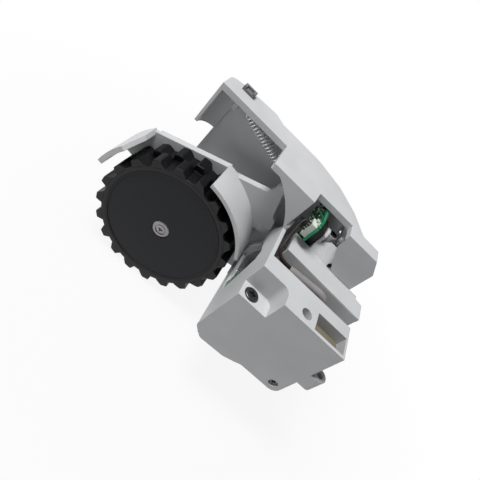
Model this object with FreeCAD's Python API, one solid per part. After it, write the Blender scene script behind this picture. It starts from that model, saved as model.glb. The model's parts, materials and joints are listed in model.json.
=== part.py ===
import FreeCAD, Part
import math
import os

# Drive wheel module of a robot vacuum cleaner, in millimetres.
# The wheel hangs on a swinging gearbox arm, fully dropped, as a spring holds it.
# X runs from the wheel towards the connector box, Y runs inboard along the wheel axle, Z is up.
# All figures here are measured from the arm's pivot axis, in the plane of the wheel's outer face.
# Each finished piece is moved so that the origin is in the side lug's screw hole, at its foot.

# Gear train, from the motor pinion to the wheel
pinion_teeth = 12
first_wheel_teeth = 48
first_pinion_teeth = 12
second_wheel_teeth = 40
second_pinion_teeth = 12
output_teeth = 45
fast_module = 0.5
middle_module = 0.6
slow_module = 0.8
fast_centres = fast_module * (pinion_teeth + first_wheel_teeth) / 2
middle_centres = middle_module * (first_pinion_teeth + second_wheel_teeth) / 2
slow_centres = slow_module * (second_pinion_teeth + output_teeth) / 2
arm_length = fast_centres + middle_centres + slow_centres
swing_deg = 21.0

# Clearances
run_gap = 0.05
seat_gap = 0.05
moving_gap = 0.5

# Wheel
tip_radius = 35.0
tread_width = 19.4
lug_height = 2.9
lugs_per_row = 20
tyre_base = 2.6
rim_wall = 2.2
disc_thick = 2.4
rim_lip = 0.4
hub_boss_radius = 6.4
shaft_radius = 2.5
hub_head_radius = 4.4
hub_head_height = 1.1
hub_thread_radius = 1.4
rim_spokes = 6
rim_spoke_thick = 1.6

# Gearbox arm, measured along Y from the wheel's outer face
web_face = 19.7
web_thick = 2.3
case_wall = 1.6
gear_floor = 25.9
face_setback = 2.4
fast_width = 2.0
middle_width = 2.2
slow_width = 2.8
layer_gap = 0.3
cover_thick = 1.6
case_hub_radius = 21.6
case_mid_radius = 14.4
case_end_radius = 15.4
boss_radius = 2.6
collar_radius = 14.9
collar_wall = 2.6
collar_length = 3.4
shroud_gap = 4.2
shroud_radius = tip_radius + shroud_gap
shroud_wall = 1.8
chord_rise = 9.6
chord_height = tip_radius + chord_rise
chord_left = -73.4
chord_right = -35.0
rear_web_drop = 2.6
rear_web_height = chord_height - rear_web_drop
front_shroud_low = 6.0
front_shroud_high = 64.5
rear_shroud_gap = 6.8
rear_shroud_radius = tip_radius + rear_shroud_gap
rear_shroud_wall = 2.4
rear_shroud_low = 130.0
rear_shroud_high = 151.0
rear_shroud_root = 121.5
web_end = -6.3
tail_end = -8.0
axle_radius = 1.0
trunnion_radius = 4.0
trunnion_length = 4.6
bush_wall = 1.4

# Motor
can_radius = 11.4
can_length = 28.6
bell_length = 1.6
board_thick = 1.2
motor_shaft_radius = 0.8
nose_radius = 3.2
magnet_radius = 3.4
magnet_thick = 1.6
cap_radius = 9.0
cap_wall = 1.0
cap_depth = 4.6
stub_radius = 2.5
stub_length = 6.0

# Fixed frame
wall = 1.6
deck_top = 52.0
deck_thick = 3.0
deck_left = -75.8
deck_front = 29.0
deck_shoulder = deck_left + 6.8
deck_step = -37.1
plate_face = 9.2
plate_right = -14.0
notch_back = 19.2
notch_right = 7.2
bay_gap = 5.3
bay_radius = shroud_radius + bay_gap
back_face = 36.8
back_thick = 2.2
back_left = deck_left + 8.3
corner_low = 29.0
box_left = -14.0
box_right = 33.0
box_face = -29.2
box_top = 32.6
box_low = -13.6
box_floor = -9.2
top_inner = -11.0
channel_floor = 13.8
flap_left = -7.6
flap_right = 36.9
flap_face = -0.5
flap_lean = 1.8
flap_root = 14.2
flap_tip = 7.6
flap_inner = 10.3
end_face = 10.5
end_right = 28.5
end_top_right = 24.0
end_shoulder = 46.0
end_depth = 8.6
recess_floor = 21.1
recess_right = 0.5
recess_back = -20.3
recess_radius = 3.2
screw_x = -8.8
screw_y = -24.6
screw_head_radius = 3.2
screw_hole_radius = 1.7
screw_tip_radius = 1.25
screw_tip_length = 2.0
screw_tip_gap = 0.4
peg_x = 11.0
peg_y = -23.9
peg_radius = 2.6
peg_depth = 12.0
socket_left = 16.2
socket_back = -18.1
socket_right = 32.2
socket_depth = 14.6
carrier_right = 28.2
carrier_depth = 3.8
carrier_drop = 0.8
lug_x = 37.2
lug_y = -25.9
lug_radius = 3.3
lug_hole_radius = 1.6
lug_low = 6.0
lug_top = 14.8
reference_point = FreeCAD.Vector(lug_x, lug_y, lug_low)
low_screw_x = 28.4
low_screw_z = -4.4
low_head_radius = 2.3
low_shank_radius = 1.2
ear_radius = 4.2
ear_hole_radius = 1.7
ear_thick = 3.0

# Spring, from its post on the frame to the hook on the arm
post_x = deck_left + 14.0
post_z = 48.4
spring_y = 33.9
hook_x = -25.5
hook_z = 39.0
coil_radius = 2.1
wire_radius = 0.4
coil_turns = 17
pin_radius = 0.8
hook_post_radius = 0.9
loop_radius = 1.35
relief_top = 50.6
relief_left = deck_left + 5.8
lip_width = 1.6

# Window behind the arm's pivot and the cover over it
window_left = -34.0
window_right = 12.0
window_low = -9.6
window_high = 24.0
cover_left = -40.0
cover_right = 15.6
cover_low = -12.4
cover_high = 30.0

# Sensor board and switch above the arm's pivot
board_x = -5.2
board_front = 6.8
board_back = 33.5
board_low = 30.4
board_foot = 36.4
board_high = 48.2
socket_front = 7.4
socket_width = 5.2
socket_low = 37.6
socket_high = 45.0
socket_reach = 2.6
switch_right = 1.0
switch_front = 14.4
switch_back = 24.6
switch_high = 42.6
post_bush_x = 6.4
post_bush_y = 22.6
post_bush_radius = 1.9
post_bush_top = 40.3
fin_left = 1.9
fin_right = 3.5
shelf_top = 24.0
ramp_low = 31.0
ramp_back = 18.6
ramp_high = 38.5
plunger_z = 27.0
plunger_radius = 1.0
plunger_travel = 0.9
shelf_thick = 1.6
sleeve_radius = 2.0
sleeve_clear = 1.4
wire_count = 4

half_swing = math.radians(swing_deg / 2)
hub_x = -arm_length * math.cos(half_swing)
hub_z = -arm_length * math.sin(half_swing)
lifted_z = -hub_z
hub_angle = 180.0 - swing_deg / 2
parts_folder = "parts"


def save(name, shape):
    """Write one sub-part, measured from the side lug's hole, and say how many solids it has."""
    clean = shape.removeSplitter()
    if not clean.isValid() or not clean.Solids:
        clean = shape
    clean = clean.translated(-reference_point)
    clean.exportStep(parts_folder + "/" + name + ".step")
    print(name, len(clean.Solids), "solids, volume", round(clean.Volume, 1), "valid", clean.isValid())


def block(x0, x1, y0, y1, z0, z1):
    """A box between two corners."""
    return Part.makeBox(x1 - x0, y1 - y0, z1 - z0, FreeCAD.Vector(x0, y0, z0))


def rod_x(y, z, radius, x0, x1):
    return Part.makeCylinder(radius, x1 - x0, FreeCAD.Vector(x0, y, z), FreeCAD.Vector(1, 0, 0))


def rod_y(x, z, radius, y0, y1):
    return Part.makeCylinder(radius, y1 - y0, FreeCAD.Vector(x, y0, z), FreeCAD.Vector(0, 1, 0))


def rod_z(x, y, radius, z0, z1):
    return Part.makeCylinder(radius, z1 - z0, FreeCAD.Vector(x, y, z0), FreeCAD.Vector(0, 0, 1))


def tube_y(x, z, outer, inner, y0, y1):
    return rod_y(x, z, outer, y0, y1).cut(rod_y(x, z, inner, y0 - 1, y1 + 1))


def tube_z(x, y, outer, inner, z0, z1):
    return rod_z(x, y, outer, z0, z1).cut(rod_z(x, y, inner, z0 - 1, z1 + 1))


def join(shapes):
    """Fuse a list of touching solids into one."""
    result = shapes[0]
    if len(shapes) > 1:
        result = result.multiFuse(shapes[1:])
    return result.removeSplitter()


def rounded_edges(corners):
    """Line and arc edges of a closed outline; each corner is (u, v, radius) in a flat plane."""
    count = len(corners)
    starts = []
    ends = []
    middles = []
    for index in range(count):
        u, v, radius = corners[index]
        here = FreeCAD.Vector(u, v, 0)
        before = FreeCAD.Vector(corners[index - 1][0], corners[index - 1][1], 0) - here
        after = FreeCAD.Vector(corners[(index + 1) % count][0], corners[(index + 1) % count][1], 0) - here
        if radius <= 0:
            starts.append(here)
            ends.append(here)
            middles.append(None)
            continue
        before.normalize()
        after.normalize()
        half = before.getAngle(after) / 2
        reach = radius / math.tan(half)
        starts.append(here + before * reach)
        ends.append(here + after * reach)
        inward = before + after
        inward.normalize()
        middles.append(here + inward * (radius / math.sin(half) - radius))
    edges = []
    for index in range(count):
        if middles[index] is not None:
            edges.append(Part.Arc(starts[index], middles[index], ends[index]).toShape())
        following = starts[(index + 1) % count]
        if ends[index].distanceToPoint(following) > 1e-6:
            edges.append(Part.LineSegment(ends[index], following).toShape())
    return edges


def flat_face(corners):
    return Part.Face(Part.Wire(Part.__sortEdges__(rounded_edges(corners))))


def prism_z(corners, z0, z1):
    """Outline of (x, y, radius) corners, extruded upwards."""
    face = flat_face(corners)
    face.translate(FreeCAD.Vector(0, 0, z0))
    return face.extrude(FreeCAD.Vector(0, 0, z1 - z0))


def prism_y(corners, y0, y1):
    """Outline of (x, z, radius) corners, extruded inboard."""
    face = flat_face(corners)
    face.rotate(FreeCAD.Vector(0, 0, 0), FreeCAD.Vector(1, 0, 0), 90)
    face.translate(FreeCAD.Vector(0, y0, 0))
    return face.extrude(FreeCAD.Vector(0, y1 - y0, 0))


def prism_x(corners, x0, x1):
    """Outline of (y, z, radius) corners, extruded along X."""
    face = flat_face(corners)
    face.rotate(FreeCAD.Vector(0, 0, 0), FreeCAD.Vector(1, 1, 1), 120)
    face.translate(FreeCAD.Vector(x0, 0, 0))
    return face.extrude(FreeCAD.Vector(x1 - x0, 0, 0))


def turned_y(x, z, profile):
    """Closed (radius, y) profile turned about an axis along Y through (x, z)."""
    points = [FreeCAD.Vector(x + radius, y, z) for radius, y in profile]
    face = Part.Face(Part.makePolygon(points + points[:1]))
    return face.revolve(FreeCAD.Vector(x, 0, z), FreeCAD.Vector(0, 1, 0), 360)


def polar(centre_x, centre_z, radius, degrees):
    angle = math.radians(degrees)
    return centre_x + radius * math.cos(angle), centre_z + radius * math.sin(angle)


def along_arm(distance):
    """A point on the line from the pivot to the hub, with the arm lifted."""
    return polar(0, 0, distance, hub_angle)


def dropped(shape):
    """Turn a piece of the lifted arm down to its rest pose."""
    turned = shape.copy()
    turned.rotate(FreeCAD.Vector(0, 0, 0), FreeCAD.Vector(0, 1, 0), -swing_deg)
    return turned


def lifted_point(x, z):
    """Where a point of the dropped arm lies when the arm is lifted."""
    angle = math.radians(swing_deg)
    return x * math.cos(angle) + z * math.sin(angle), z * math.cos(angle) - x * math.sin(angle)


def arc_wall(centre_x, centre_z, outer, thick, low_deg, high_deg, y0, y1):
    """Part of a round wall about an axis along Y, between two angles."""
    inner = outer - thick
    middle = (low_deg + high_deg) / 2
    corners = []
    for radius in (outer, inner):
        for degrees in (low_deg, middle, high_deg):
            x, z = polar(centre_x, centre_z, radius, degrees)
            corners.append(FreeCAD.Vector(x, y0, z))
    edges = [
        Part.Arc(corners[0], corners[1], corners[2]).toShape(),
        Part.LineSegment(corners[2], corners[5]).toShape(),
        Part.Arc(corners[5], corners[4], corners[3]).toShape(),
        Part.LineSegment(corners[3], corners[0]).toShape(),
    ]
    face = Part.Face(Part.Wire(edges))
    return face.extrude(FreeCAD.Vector(0, y1 - y0, 0))


def gear(x, z, module, teeth, y0, y1, bore, turn_deg):
    """Spur gear about an axis along Y; turn_deg is the angle of one tooth's middle."""
    pitch_radius = module * teeth / 2
    root = pitch_radius - 1.2 * module
    tip = pitch_radius + 0.85 * module
    pitch = 360.0 / teeth
    root_share = 0.33
    middle_share = 0.21
    tip_share = 0.10
    points = []
    for tooth in range(teeth):
        angle = turn_deg + tooth * pitch
        for radius, share in ((root, -root_share), (pitch_radius, -middle_share), (tip, -tip_share),
                              (tip, tip_share), (pitch_radius, middle_share), (root, root_share)):
            px, pz = polar(x, z, radius, angle + share * pitch)
            points.append(FreeCAD.Vector(px, y0, pz))
    face = Part.Face(Part.makePolygon(points + points[:1]))
    body = face.extrude(FreeCAD.Vector(0, y1 - y0, 0))
    if bore > 0:
        body = body.cut(rod_y(x, z, bore, y0 - 1, y1 + 1))
    return body


def cross_recess(x, y, z, axis, size, depth):
    """Cross-shaped driver recess, cut down from the top of a screw head."""
    thin = size * 0.16
    if axis == "z":
        first = block(x - size / 2, x + size / 2, y - thin, y + thin, z - depth, z + 1)
        second = block(x - thin, x + thin, y - size / 2, y + size / 2, z - depth, z + 1)
    else:
        first = block(x - size / 2, x + size / 2, y - 1, y + depth, z - thin, z + thin)
        second = block(x - thin, x + thin, y - 1, y + depth, z - size / 2, z + size / 2)
    return first.fuse(second)


# Layers of the gear train along Y
fast_start = gear_floor + layer_gap
middle_start = fast_start + fast_width + layer_gap
slow_start = middle_start + middle_width + layer_gap
cover_face = slow_start + slow_width + layer_gap
cover_back = cover_face + cover_thick
first_x, first_z = along_arm(fast_centres)
second_x, second_z = along_arm(fast_centres + middle_centres)
last_x, last_z = along_arm(arm_length)
motor_face = gear_floor - face_setback + case_wall - seat_gap
can_back = motor_face - can_length
hook_lift_x, hook_lift_z = lifted_point(hook_x, hook_z)

# Each gear meets the next with a tooth of one in a gap of the other on the line of centres
pinion_turn = hub_angle
first_turn = hub_angle + 180.0 + 180.0 / first_wheel_teeth
first_turn_small = hub_angle
second_turn = hub_angle + 180.0 + 180.0 / second_wheel_teeth
second_turn_small = hub_angle
output_turn = hub_angle + 180.0 + 180.0 / output_teeth


def wheel_rim():
    """Black rim: a dished disc with an outer wall, a hub boss and spokes behind."""
    outer = tip_radius - lug_height - tyre_base
    inner = outer - rim_wall
    profile = [
        (hub_thread_radius + seat_gap, rim_lip + hub_head_height),
        (hub_head_radius + 0.3, rim_lip + hub_head_height),
        (hub_head_radius + 0.3, rim_lip),
        (outer - 1.2, rim_lip),
        (outer - 0.9, 0.0),
        (outer, 0.0),
        (outer, tread_width - 0.8),
        (inner, tread_width - 0.8),
        (inner, rim_lip + disc_thick),
        (hub_boss_radius, rim_lip + disc_thick),
        (hub_boss_radius, web_face - moving_gap),
        (shaft_radius + seat_gap, web_face - moving_gap),
        (shaft_radius + seat_gap, rim_lip + disc_thick),
        (hub_thread_radius + seat_gap, rim_lip + disc_thick),
    ]
    body = turned_y(hub_x, hub_z, profile)
    spokes = []
    for index in range(rim_spokes):
        spoke = block(hub_x + hub_boss_radius - 0.5, hub_x + inner + 0.5,
                      rim_lip + disc_thick - 0.2, tread_width - 4,
                      hub_z - rim_spoke_thick / 2, hub_z + rim_spoke_thick / 2)
        spoke.rotate(FreeCAD.Vector(hub_x, 0, hub_z), FreeCAD.Vector(0, 1, 0), index * 360 / rim_spokes)
        spokes.append(spoke)
    return join([body] + spokes)


def tyre():
    """Rubber tyre with two staggered rows of saw-tooth lugs."""
    inner = tip_radius - lug_height - tyre_base + seat_gap
    base = tip_radius - lug_height
    ring = tube_y(hub_x, hub_z, base, inner, 0.1, tread_width)
    row_gap = 1.2
    row_width = (tread_width - row_gap) / 2
    pitch = 360.0 / lugs_per_row
    lugs = [ring]
    for row in range(2):
        y0 = 0.1 + row * (row_width + row_gap)
        for index in range(lugs_per_row):
            middle = index * pitch + row * pitch / 2
            corners = [polar(hub_x, hub_z, base - 0.6, middle - 0.36 * pitch),
                       polar(hub_x, hub_z, base, middle - 0.36 * pitch),
                       polar(hub_x, hub_z, tip_radius, middle - 0.12 * pitch),
                       polar(hub_x, hub_z, tip_radius, middle + 0.20 * pitch),
                       polar(hub_x, hub_z, base, middle + 0.30 * pitch),
                       polar(hub_x, hub_z, base - 0.6, middle + 0.30 * pitch)]
            lugs.append(prism_y([(x, z, 0) for x, z in corners], y0, y0 + row_width - 0.1))
    return join(lugs)


def hub_screw():
    """Washer-head screw that holds the rim on the shaft."""
    seat = rim_lip + hub_head_height
    groove = hub_head_radius - 2.1
    profile = [
        (0, 0.3), (groove, 0.3), (groove, 0.7), (groove + 0.5, 0.7), (groove + 0.5, 0.15),
        (hub_head_radius - 0.5, 0.15), (hub_head_radius, 0.55), (hub_head_radius, seat),
        (hub_thread_radius, seat), (hub_thread_radius, seat + 8), (0, seat + 8),
    ]
    body = turned_y(hub_x, hub_z, profile)
    return body.cut(cross_recess(hub_x, 0.3, hub_z, "y", 2.4, 0.8))


def drive_shaft():
    """Steel shaft through the arm, with a tapped end for the hub screw."""
    shoulder = rim_lip + disc_thick + seat_gap
    body = rod_y(hub_x, hub_z, shaft_radius, shoulder, cover_back)
    return body.cut(rod_y(hub_x, hub_z, hub_thread_radius + seat_gap, shoulder - 1, shoulder + 9))


def case_outline(offset, y0, y1):
    """Rounded outline of the gearbox round its gear axes, arm lifted."""
    pieces = []
    stations = [(0.0, 0.0, case_end_radius), (first_x, first_z, case_mid_radius),
                (second_x, second_z, case_mid_radius), (last_x, last_z, case_hub_radius)]
    for x, z, radius in stations:
        pieces.append(rod_y(x, z, radius - offset, y0, y1))
    for index in range(len(stations) - 1):
        x0, z0, r0 = stations[index]
        x1, z1, r1 = stations[index + 1]
        gap = math.hypot(x1 - x0, z1 - z0)
        lean = math.asin((r0 - r1) / gap)
        heading = math.atan2(z1 - z0, x1 - x0)
        corners = []
        for x, z, radius, side in ((x0, z0, r0, 1), (x1, z1, r1, 1), (x1, z1, r1, -1), (x0, z0, r0, -1)):
            angle = heading + side * (math.pi / 2 - lean)
            corners.append((x + (radius - offset) * math.cos(angle),
                            z + (radius - offset) * math.sin(angle), 0))
        pieces.append(prism_y(corners, y0, y1))
    if offset == 0:
        for x, z in case_screw_places():
            pieces.append(rod_y(x, z, boss_radius, y0, y1))
    return join(pieces)


def arm_web():
    """Flat web behind the wheel, up to the straight top edge and back to the spring hook."""
    hub = rod_y(last_x, last_z, case_hub_radius + 4, web_face, web_face + web_thick)
    front_foot = polar(last_x, last_z, shroud_radius - 1, front_shroud_low + 0.5)
    front_mid = polar(last_x, last_z, shroud_radius - 1, 25)
    front_top = polar(last_x, last_z, shroud_radius - 1, 45)
    front = polar(last_x, last_z, shroud_radius, front_shroud_high)
    rear_top = polar(last_x, last_z, rear_shroud_radius - 1, rear_shroud_root + 10)
    rear_low = polar(last_x, last_z, rear_shroud_radius - 1, rear_shroud_high - 1)
    fender = prism_y([
        (last_x, last_z, 0), (front_foot[0], front_foot[1], 0), (front_mid[0], front_mid[1], 0),
        (front_top[0], front_top[1], 0), (front[0], chord_height, 1),
        (chord_left, chord_height, 2), (rear_top[0], rear_top[1], 0), (rear_low[0], rear_low[1], 2),
    ], web_face, web_face + web_thick)
    tail = prism_y([
        (chord_right - 4, rear_web_height, 0), (hook_lift_x - 4, rear_web_height, 4),
        (hook_lift_x - 3, hook_lift_z, 0), (tail_end, hook_lift_z - 2, 0), (tail_end, 31.0, 0),
        (web_end, 29.4, 0), (web_end, 22.8, 1.5),
        (-12.8, 24.1, 0), (-13.5, 20.8, 1), (-22.5, 22.2, 1), (-29.0, 12.0, 0), (-40.0, 12.0, 0),
    ], web_face, web_face + web_thick)
    eye = rod_y(hook_lift_x, hook_lift_z, 2.6, web_face, web_face + web_thick)
    return join([hub, fender, tail, eye])


def rear_shroud():
    """Wheel cover wall on the far side of the wheel, cut back at a slant towards its root."""
    wall_piece = arc_wall(last_x, last_z, rear_shroud_radius, rear_shroud_wall, rear_shroud_root,
                          rear_shroud_high, 0.2, web_face + web_thick)
    cut_from = polar(last_x, last_z, rear_shroud_radius + 4, rear_shroud_root - 4)
    cut_to = polar(last_x, last_z, rear_shroud_radius + 4, rear_shroud_low)
    inner_from = polar(last_x, last_z, rear_shroud_radius - 6, rear_shroud_root - 4)
    inner_to = polar(last_x, last_z, rear_shroud_radius - 6, rear_shroud_low)
    points = [
        FreeCAD.Vector(cut_from[0], -1, cut_from[1]), FreeCAD.Vector(cut_to[0], -1, cut_to[1]),
        FreeCAD.Vector(inner_to[0], -1, inner_to[1]), FreeCAD.Vector(inner_from[0], -1, inner_from[1]),
    ]
    low = Part.makePolygon(points + points[:1])
    shift_x = cut_from[0] - cut_to[0]
    shift_z = cut_from[1] - cut_to[1]
    upper = low.copy()
    upper.translate(FreeCAD.Vector(shift_x, web_face + 1, shift_z))
    wedge = Part.makeLoft([low, upper], True, True)
    return wall_piece.cut(wedge)


def arm_case():
    """Outer shell of the swinging gearbox: web, wheel cover, gear chamber and motor collar."""
    shell = case_outline(0, web_face + web_thick - 0.1, cover_face)
    chamber = case_outline(case_wall, gear_floor, cover_face + 1)
    setback = rod_y(0, 0, case_end_radius + 22, web_face - 1, gear_floor - face_setback + case_wall - 0.8)
    web = arm_web()
    body = shell.cut(setback.common(block(-26, 40, 0, 60, -40, 40)))
    body = join([body, web])
    top_rim = block(chord_left + 1.5, chord_right, web_face, web_face + 4, chord_height - 2, chord_height)
    back_rim = block(chord_right - 1, hook_lift_x - 2, web_face, web_face + 4,
                     rear_web_height - 2, rear_web_height)
    front_wall = arc_wall(last_x, last_z, shroud_radius, shroud_wall, front_shroud_low, front_shroud_high,
                          0.2, web_face + web_thick)
    collar = rod_y(0, 0, collar_radius, gear_floor - face_setback - collar_length, gear_floor)
    hook = rod_y(hook_lift_x, hook_lift_z, hook_post_radius, web_face, spring_y + 1.6)
    hook_head = rod_y(hook_lift_x, hook_lift_z, hook_post_radius + 0.6, spring_y + 0.8, spring_y + 1.6)
    hook_foot = rod_y(hook_lift_x, hook_lift_z, hook_post_radius + 1, web_face, spring_y - 2.6)
    boss = rod_y(last_x, last_z, 8, web_face, gear_floor + 0.2)
    body = join([body, top_rim, back_rim, front_wall, rear_shroud(), collar, hook, hook_head, hook_foot,
                 boss])
    bosses = []
    for x, z in case_screw_places():
        bosses.append(rod_y(x, z, boss_radius, gear_floor - 0.5, cover_face))
    body = join([body] + bosses)
    body = body.cut(chamber.cut(join([rod_y(x, z, boss_radius, gear_floor - 1, cover_face + 2)
                                      for x, z in case_screw_places()] +
                                     [rod_y(last_x, last_z, 7, gear_floor - 1, gear_floor + 0.2)])))
    motor_room = rod_y(0, 0, can_radius + seat_gap, -10, motor_face + seat_gap)
    nose_room = rod_y(0, 0, nose_radius + 0.2, 0, gear_floor + 1)
    shaft_hole = rod_y(last_x, last_z, shaft_radius + bush_wall + seat_gap, web_face - 1, gear_floor + 1)
    holes = [motor_room, nose_room, shaft_hole]
    for x, z in ((first_x, first_z), (second_x, second_z)):
        holes.append(rod_y(x, z, axle_radius + seat_gap, gear_floor - 1.4, gear_floor + 1))
    for x, z in case_screw_places():
        holes.append(rod_y(x, z, 0.9, gear_floor + 1, cover_face + 1))
    for x, z in motor_screw_places():
        holes.append(rod_y(x, z, 0.85, motor_face - 1, gear_floor + 1))
    body = body.cut(join(holes))
    slots = []
    for index in range(8):
        start = index * 45.0 + 22.5 - 14
        slots.append(arc_wall(last_x, last_z, case_hub_radius - 1.6, 6.5, start, start + 28,
                              web_face - 1, gear_floor - 1.8))
    return body.cut(join(slots))


def case_screw_places():
    """Screws that hold the gearbox cover, in ears on its outline and beside the pivot."""
    reach = case_hub_radius + 1.0
    places = [polar(last_x, last_z, reach, degrees) for degrees in (100, 170, 240, 310)]
    places.append(polar(0, 0, case_end_radius - 3.4, 50))
    places.append(polar(0, 0, case_end_radius - 3.4, -70))
    return places


def motor_screw_places():
    return [(7.5, 0.0), (-7.5, 0.0)]


def arm_cover():
    """Inner cover of the gearbox, with the trunnion that the arm swings on."""
    plate = case_outline(0, cover_face + seat_gap, cover_back)
    shaft_boss = rod_y(last_x, last_z, 6.5, cover_face - 0.0, cover_back)
    trunnion = rod_y(0, 0, trunnion_radius, cover_back - 0.5, cover_back + trunnion_length)
    shoulder = rod_y(0, 0, trunnion_radius + 2.5, cover_back - 0.5, back_face - 0.3)
    body = join([plate, shaft_boss, trunnion, shoulder])
    ribs = []
    for x, z in (along_arm(8), along_arm(24), along_arm(36)):
        ribs.append(tube_y(x, z, 5.2, 4.2, cover_back - 0.3, back_face - 0.5))
    body = join([body] + ribs)
    holes = [rod_y(last_x, last_z, shaft_radius + bush_wall + seat_gap, cover_face - 1, back_face)]
    holes.append(rod_y(0, 0, trunnion_radius - 1.4, cover_back + 1, cover_back + trunnion_length + 1))
    for x, z in ((first_x, first_z), (second_x, second_z)):
        holes.append(rod_y(x, z, axle_radius + seat_gap, cover_face - 1, cover_face + 1.0))
    for x, z in case_screw_places():
        holes.append(rod_y(x, z, 1.2, cover_face - 1, back_face))
    return body.cut(join(holes))


def case_screws():
    """Screws through the gearbox cover into the case."""
    solids = []
    for x, z in case_screw_places():
        shank = rod_y(x, z, 0.85, gear_floor + 2.0, cover_back + seat_gap)
        head = rod_y(x, z, 1.9, cover_back + seat_gap, cover_back + 0.75)
        screw = shank.fuse(head)
        solids.append(dropped(screw))
    return Part.makeCompound(solids)


def shaft_bush(y0, y1):
    return tube_y(hub_x, hub_z, shaft_radius + bush_wall, shaft_radius + run_gap, y0, y1)


def gear_axle(x, z):
    return dropped(rod_y(x, z, axle_radius, gear_floor - 1.3, cover_face + 0.9))


def double_gear(x, z, large, large_start, large_width, small, small_start, small_width, large_deg,
                small_deg):
    """Large gear and small pinion moulded in one, running on a fixed axle."""
    wheel_part = gear(x, z, large[0], large[1], large_start, large_start + large_width,
                      axle_radius + run_gap, large_deg)
    small_part = gear(x, z, small[0], small[1], small_start, small_start + small_width,
                      axle_radius + run_gap, small_deg)
    sleeve = tube_y(x, z, 2.4, axle_radius + run_gap, large_start, small_start + small_width)
    return join([wheel_part, small_part, sleeve])


def motor_can():
    """Drawn steel can of the motor, with a front nose."""
    body = rod_y(0, 0, can_radius, can_back + bell_length, motor_face)
    edge = body.makeFillet(0.8, [body.Edges[0]])
    nose = rod_y(0, 0, nose_radius, motor_face - 0.5, motor_face + 0.7)
    body = join([edge, nose])
    holes = [rod_y(0, 0, motor_shaft_radius + run_gap, can_back, motor_face + 2)]
    for x, z in motor_screw_places():
        holes.append(rod_y(x, z, 0.85, motor_face - 2.5, motor_face + 1))
    for side in (-1, 1):
        holes.append(block(-2.2, 2.2, can_back + 6, can_back + 11, side * can_radius - 0.8,
                           side * can_radius + 0.8))
    return body.cut(join(holes))


def motor_bell():
    """Plastic end bell with two terminal tabs' pads."""
    body = rod_y(0, 0, can_radius - 0.6, can_back, can_back + bell_length - 0.0)
    boss = rod_y(0, 0, 2.4, can_back - 0.8, can_back)
    body = join([body, boss])
    return body.cut(rod_y(0, 0, motor_shaft_radius + run_gap, can_back - 2, can_back + bell_length + 1))


def encoder_board():
    """Round board behind the motor, with its sensor chip left to its own piece."""
    start = can_back - 0.8 - board_thick
    disc = rod_y(0, 0, can_radius - 0.2, start, start + board_thick)
    return disc.cut(rod_y(0, 0, motor_shaft_radius + 0.8, start - 1, start + board_thick + 1))


def encoder_parts():
    """Sensor chips and a small socket on the encoder board."""
    face = can_back - 0.8 - board_thick
    solids = []
    for degrees in (200, 290):
        x, z = polar(0, 0, 7.6, degrees)
        solids.append(block(x - 1.1, x + 1.1, face - 1.0, face, z - 0.9, z + 0.9))
    x, z = polar(0, 0, 9.6, 158)
    solids.append(block(x - 1.0, x + 1.0, face - 2.2, face, z - 1.6, z + 1.6))
    return Part.makeCompound([dropped(solid) for solid in solids])


def motor_cap():
    """Black cap over the encoder, with the outer pivot stub."""
    face = can_back - 0.8 - board_thick
    cup = rod_y(0, 0, cap_radius - 2.8, face - cap_depth, face)
    room = rod_y(0, 0, cap_radius - 2.8 - cap_wall, face - cap_depth + cap_wall, face + 1)
    stub = rod_y(0, 0, stub_radius, face - cap_depth - stub_length, face - cap_depth + 0.2)
    collar = rod_y(0, 0, stub_radius + 1.4, face - cap_depth - 0.6, face - cap_depth + 0.2)
    return join([cup.cut(room), stub, collar])


def magnet_ring():
    """Encoder magnet pressed on the tail of the motor shaft."""
    face = can_back - 0.8 - board_thick
    return tube_y(0, 0, magnet_radius, motor_shaft_radius, face - 0.5 - magnet_thick, face - 0.5)


def motor_shaft():
    face = can_back - 0.8 - board_thick
    return rod_y(0, 0, motor_shaft_radius, face - 0.5 - magnet_thick, fast_start + fast_width)


def deck():
    """Top deck with its curved inboard edge and the stepped opening beside the front plate."""
    outline = [
        (deck_left, deck_front, 0), (deck_left, 40.5, 4), (deck_shoulder, 43.4, 3), (-49.8, 45.9, 2),
        (-44.4, 42.8, 2),
        (-20.4, 43.2, 14), (-5.0, 38.6, 10), (6.4, 29.9, 6), (14.2, 19.2, 2), (end_top_right, 18.8, 0.8),
        (end_top_right, end_face, 0), (notch_right, end_face, 0), (notch_right, notch_back, 0),
        (plate_right + 1, notch_back, 1), (plate_right, plate_face, 0), (deck_step, plate_face, 0.8),
        (deck_step, deck_front, 0),
    ]
    plate = prism_z(outline, deck_top - deck_thick, deck_top)
    relief = block(relief_left, deck_step - 0.8, deck_front + lip_width, back_face + 0.4,
                   deck_top - deck_thick - 1, relief_top)
    return plate.cut(relief)


def front_plate():
    """Plate beside the wheel bay, cut to an arc round the lifted wheel."""
    plate = block(deck_step - 1, plate_right, plate_face, plate_face + 2, box_top - 1.6, deck_top - 0.5)
    bay = rod_y(last_x, last_z, bay_radius, plate_face - 1, plate_face + 4)
    return plate.cut(bay)


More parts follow.
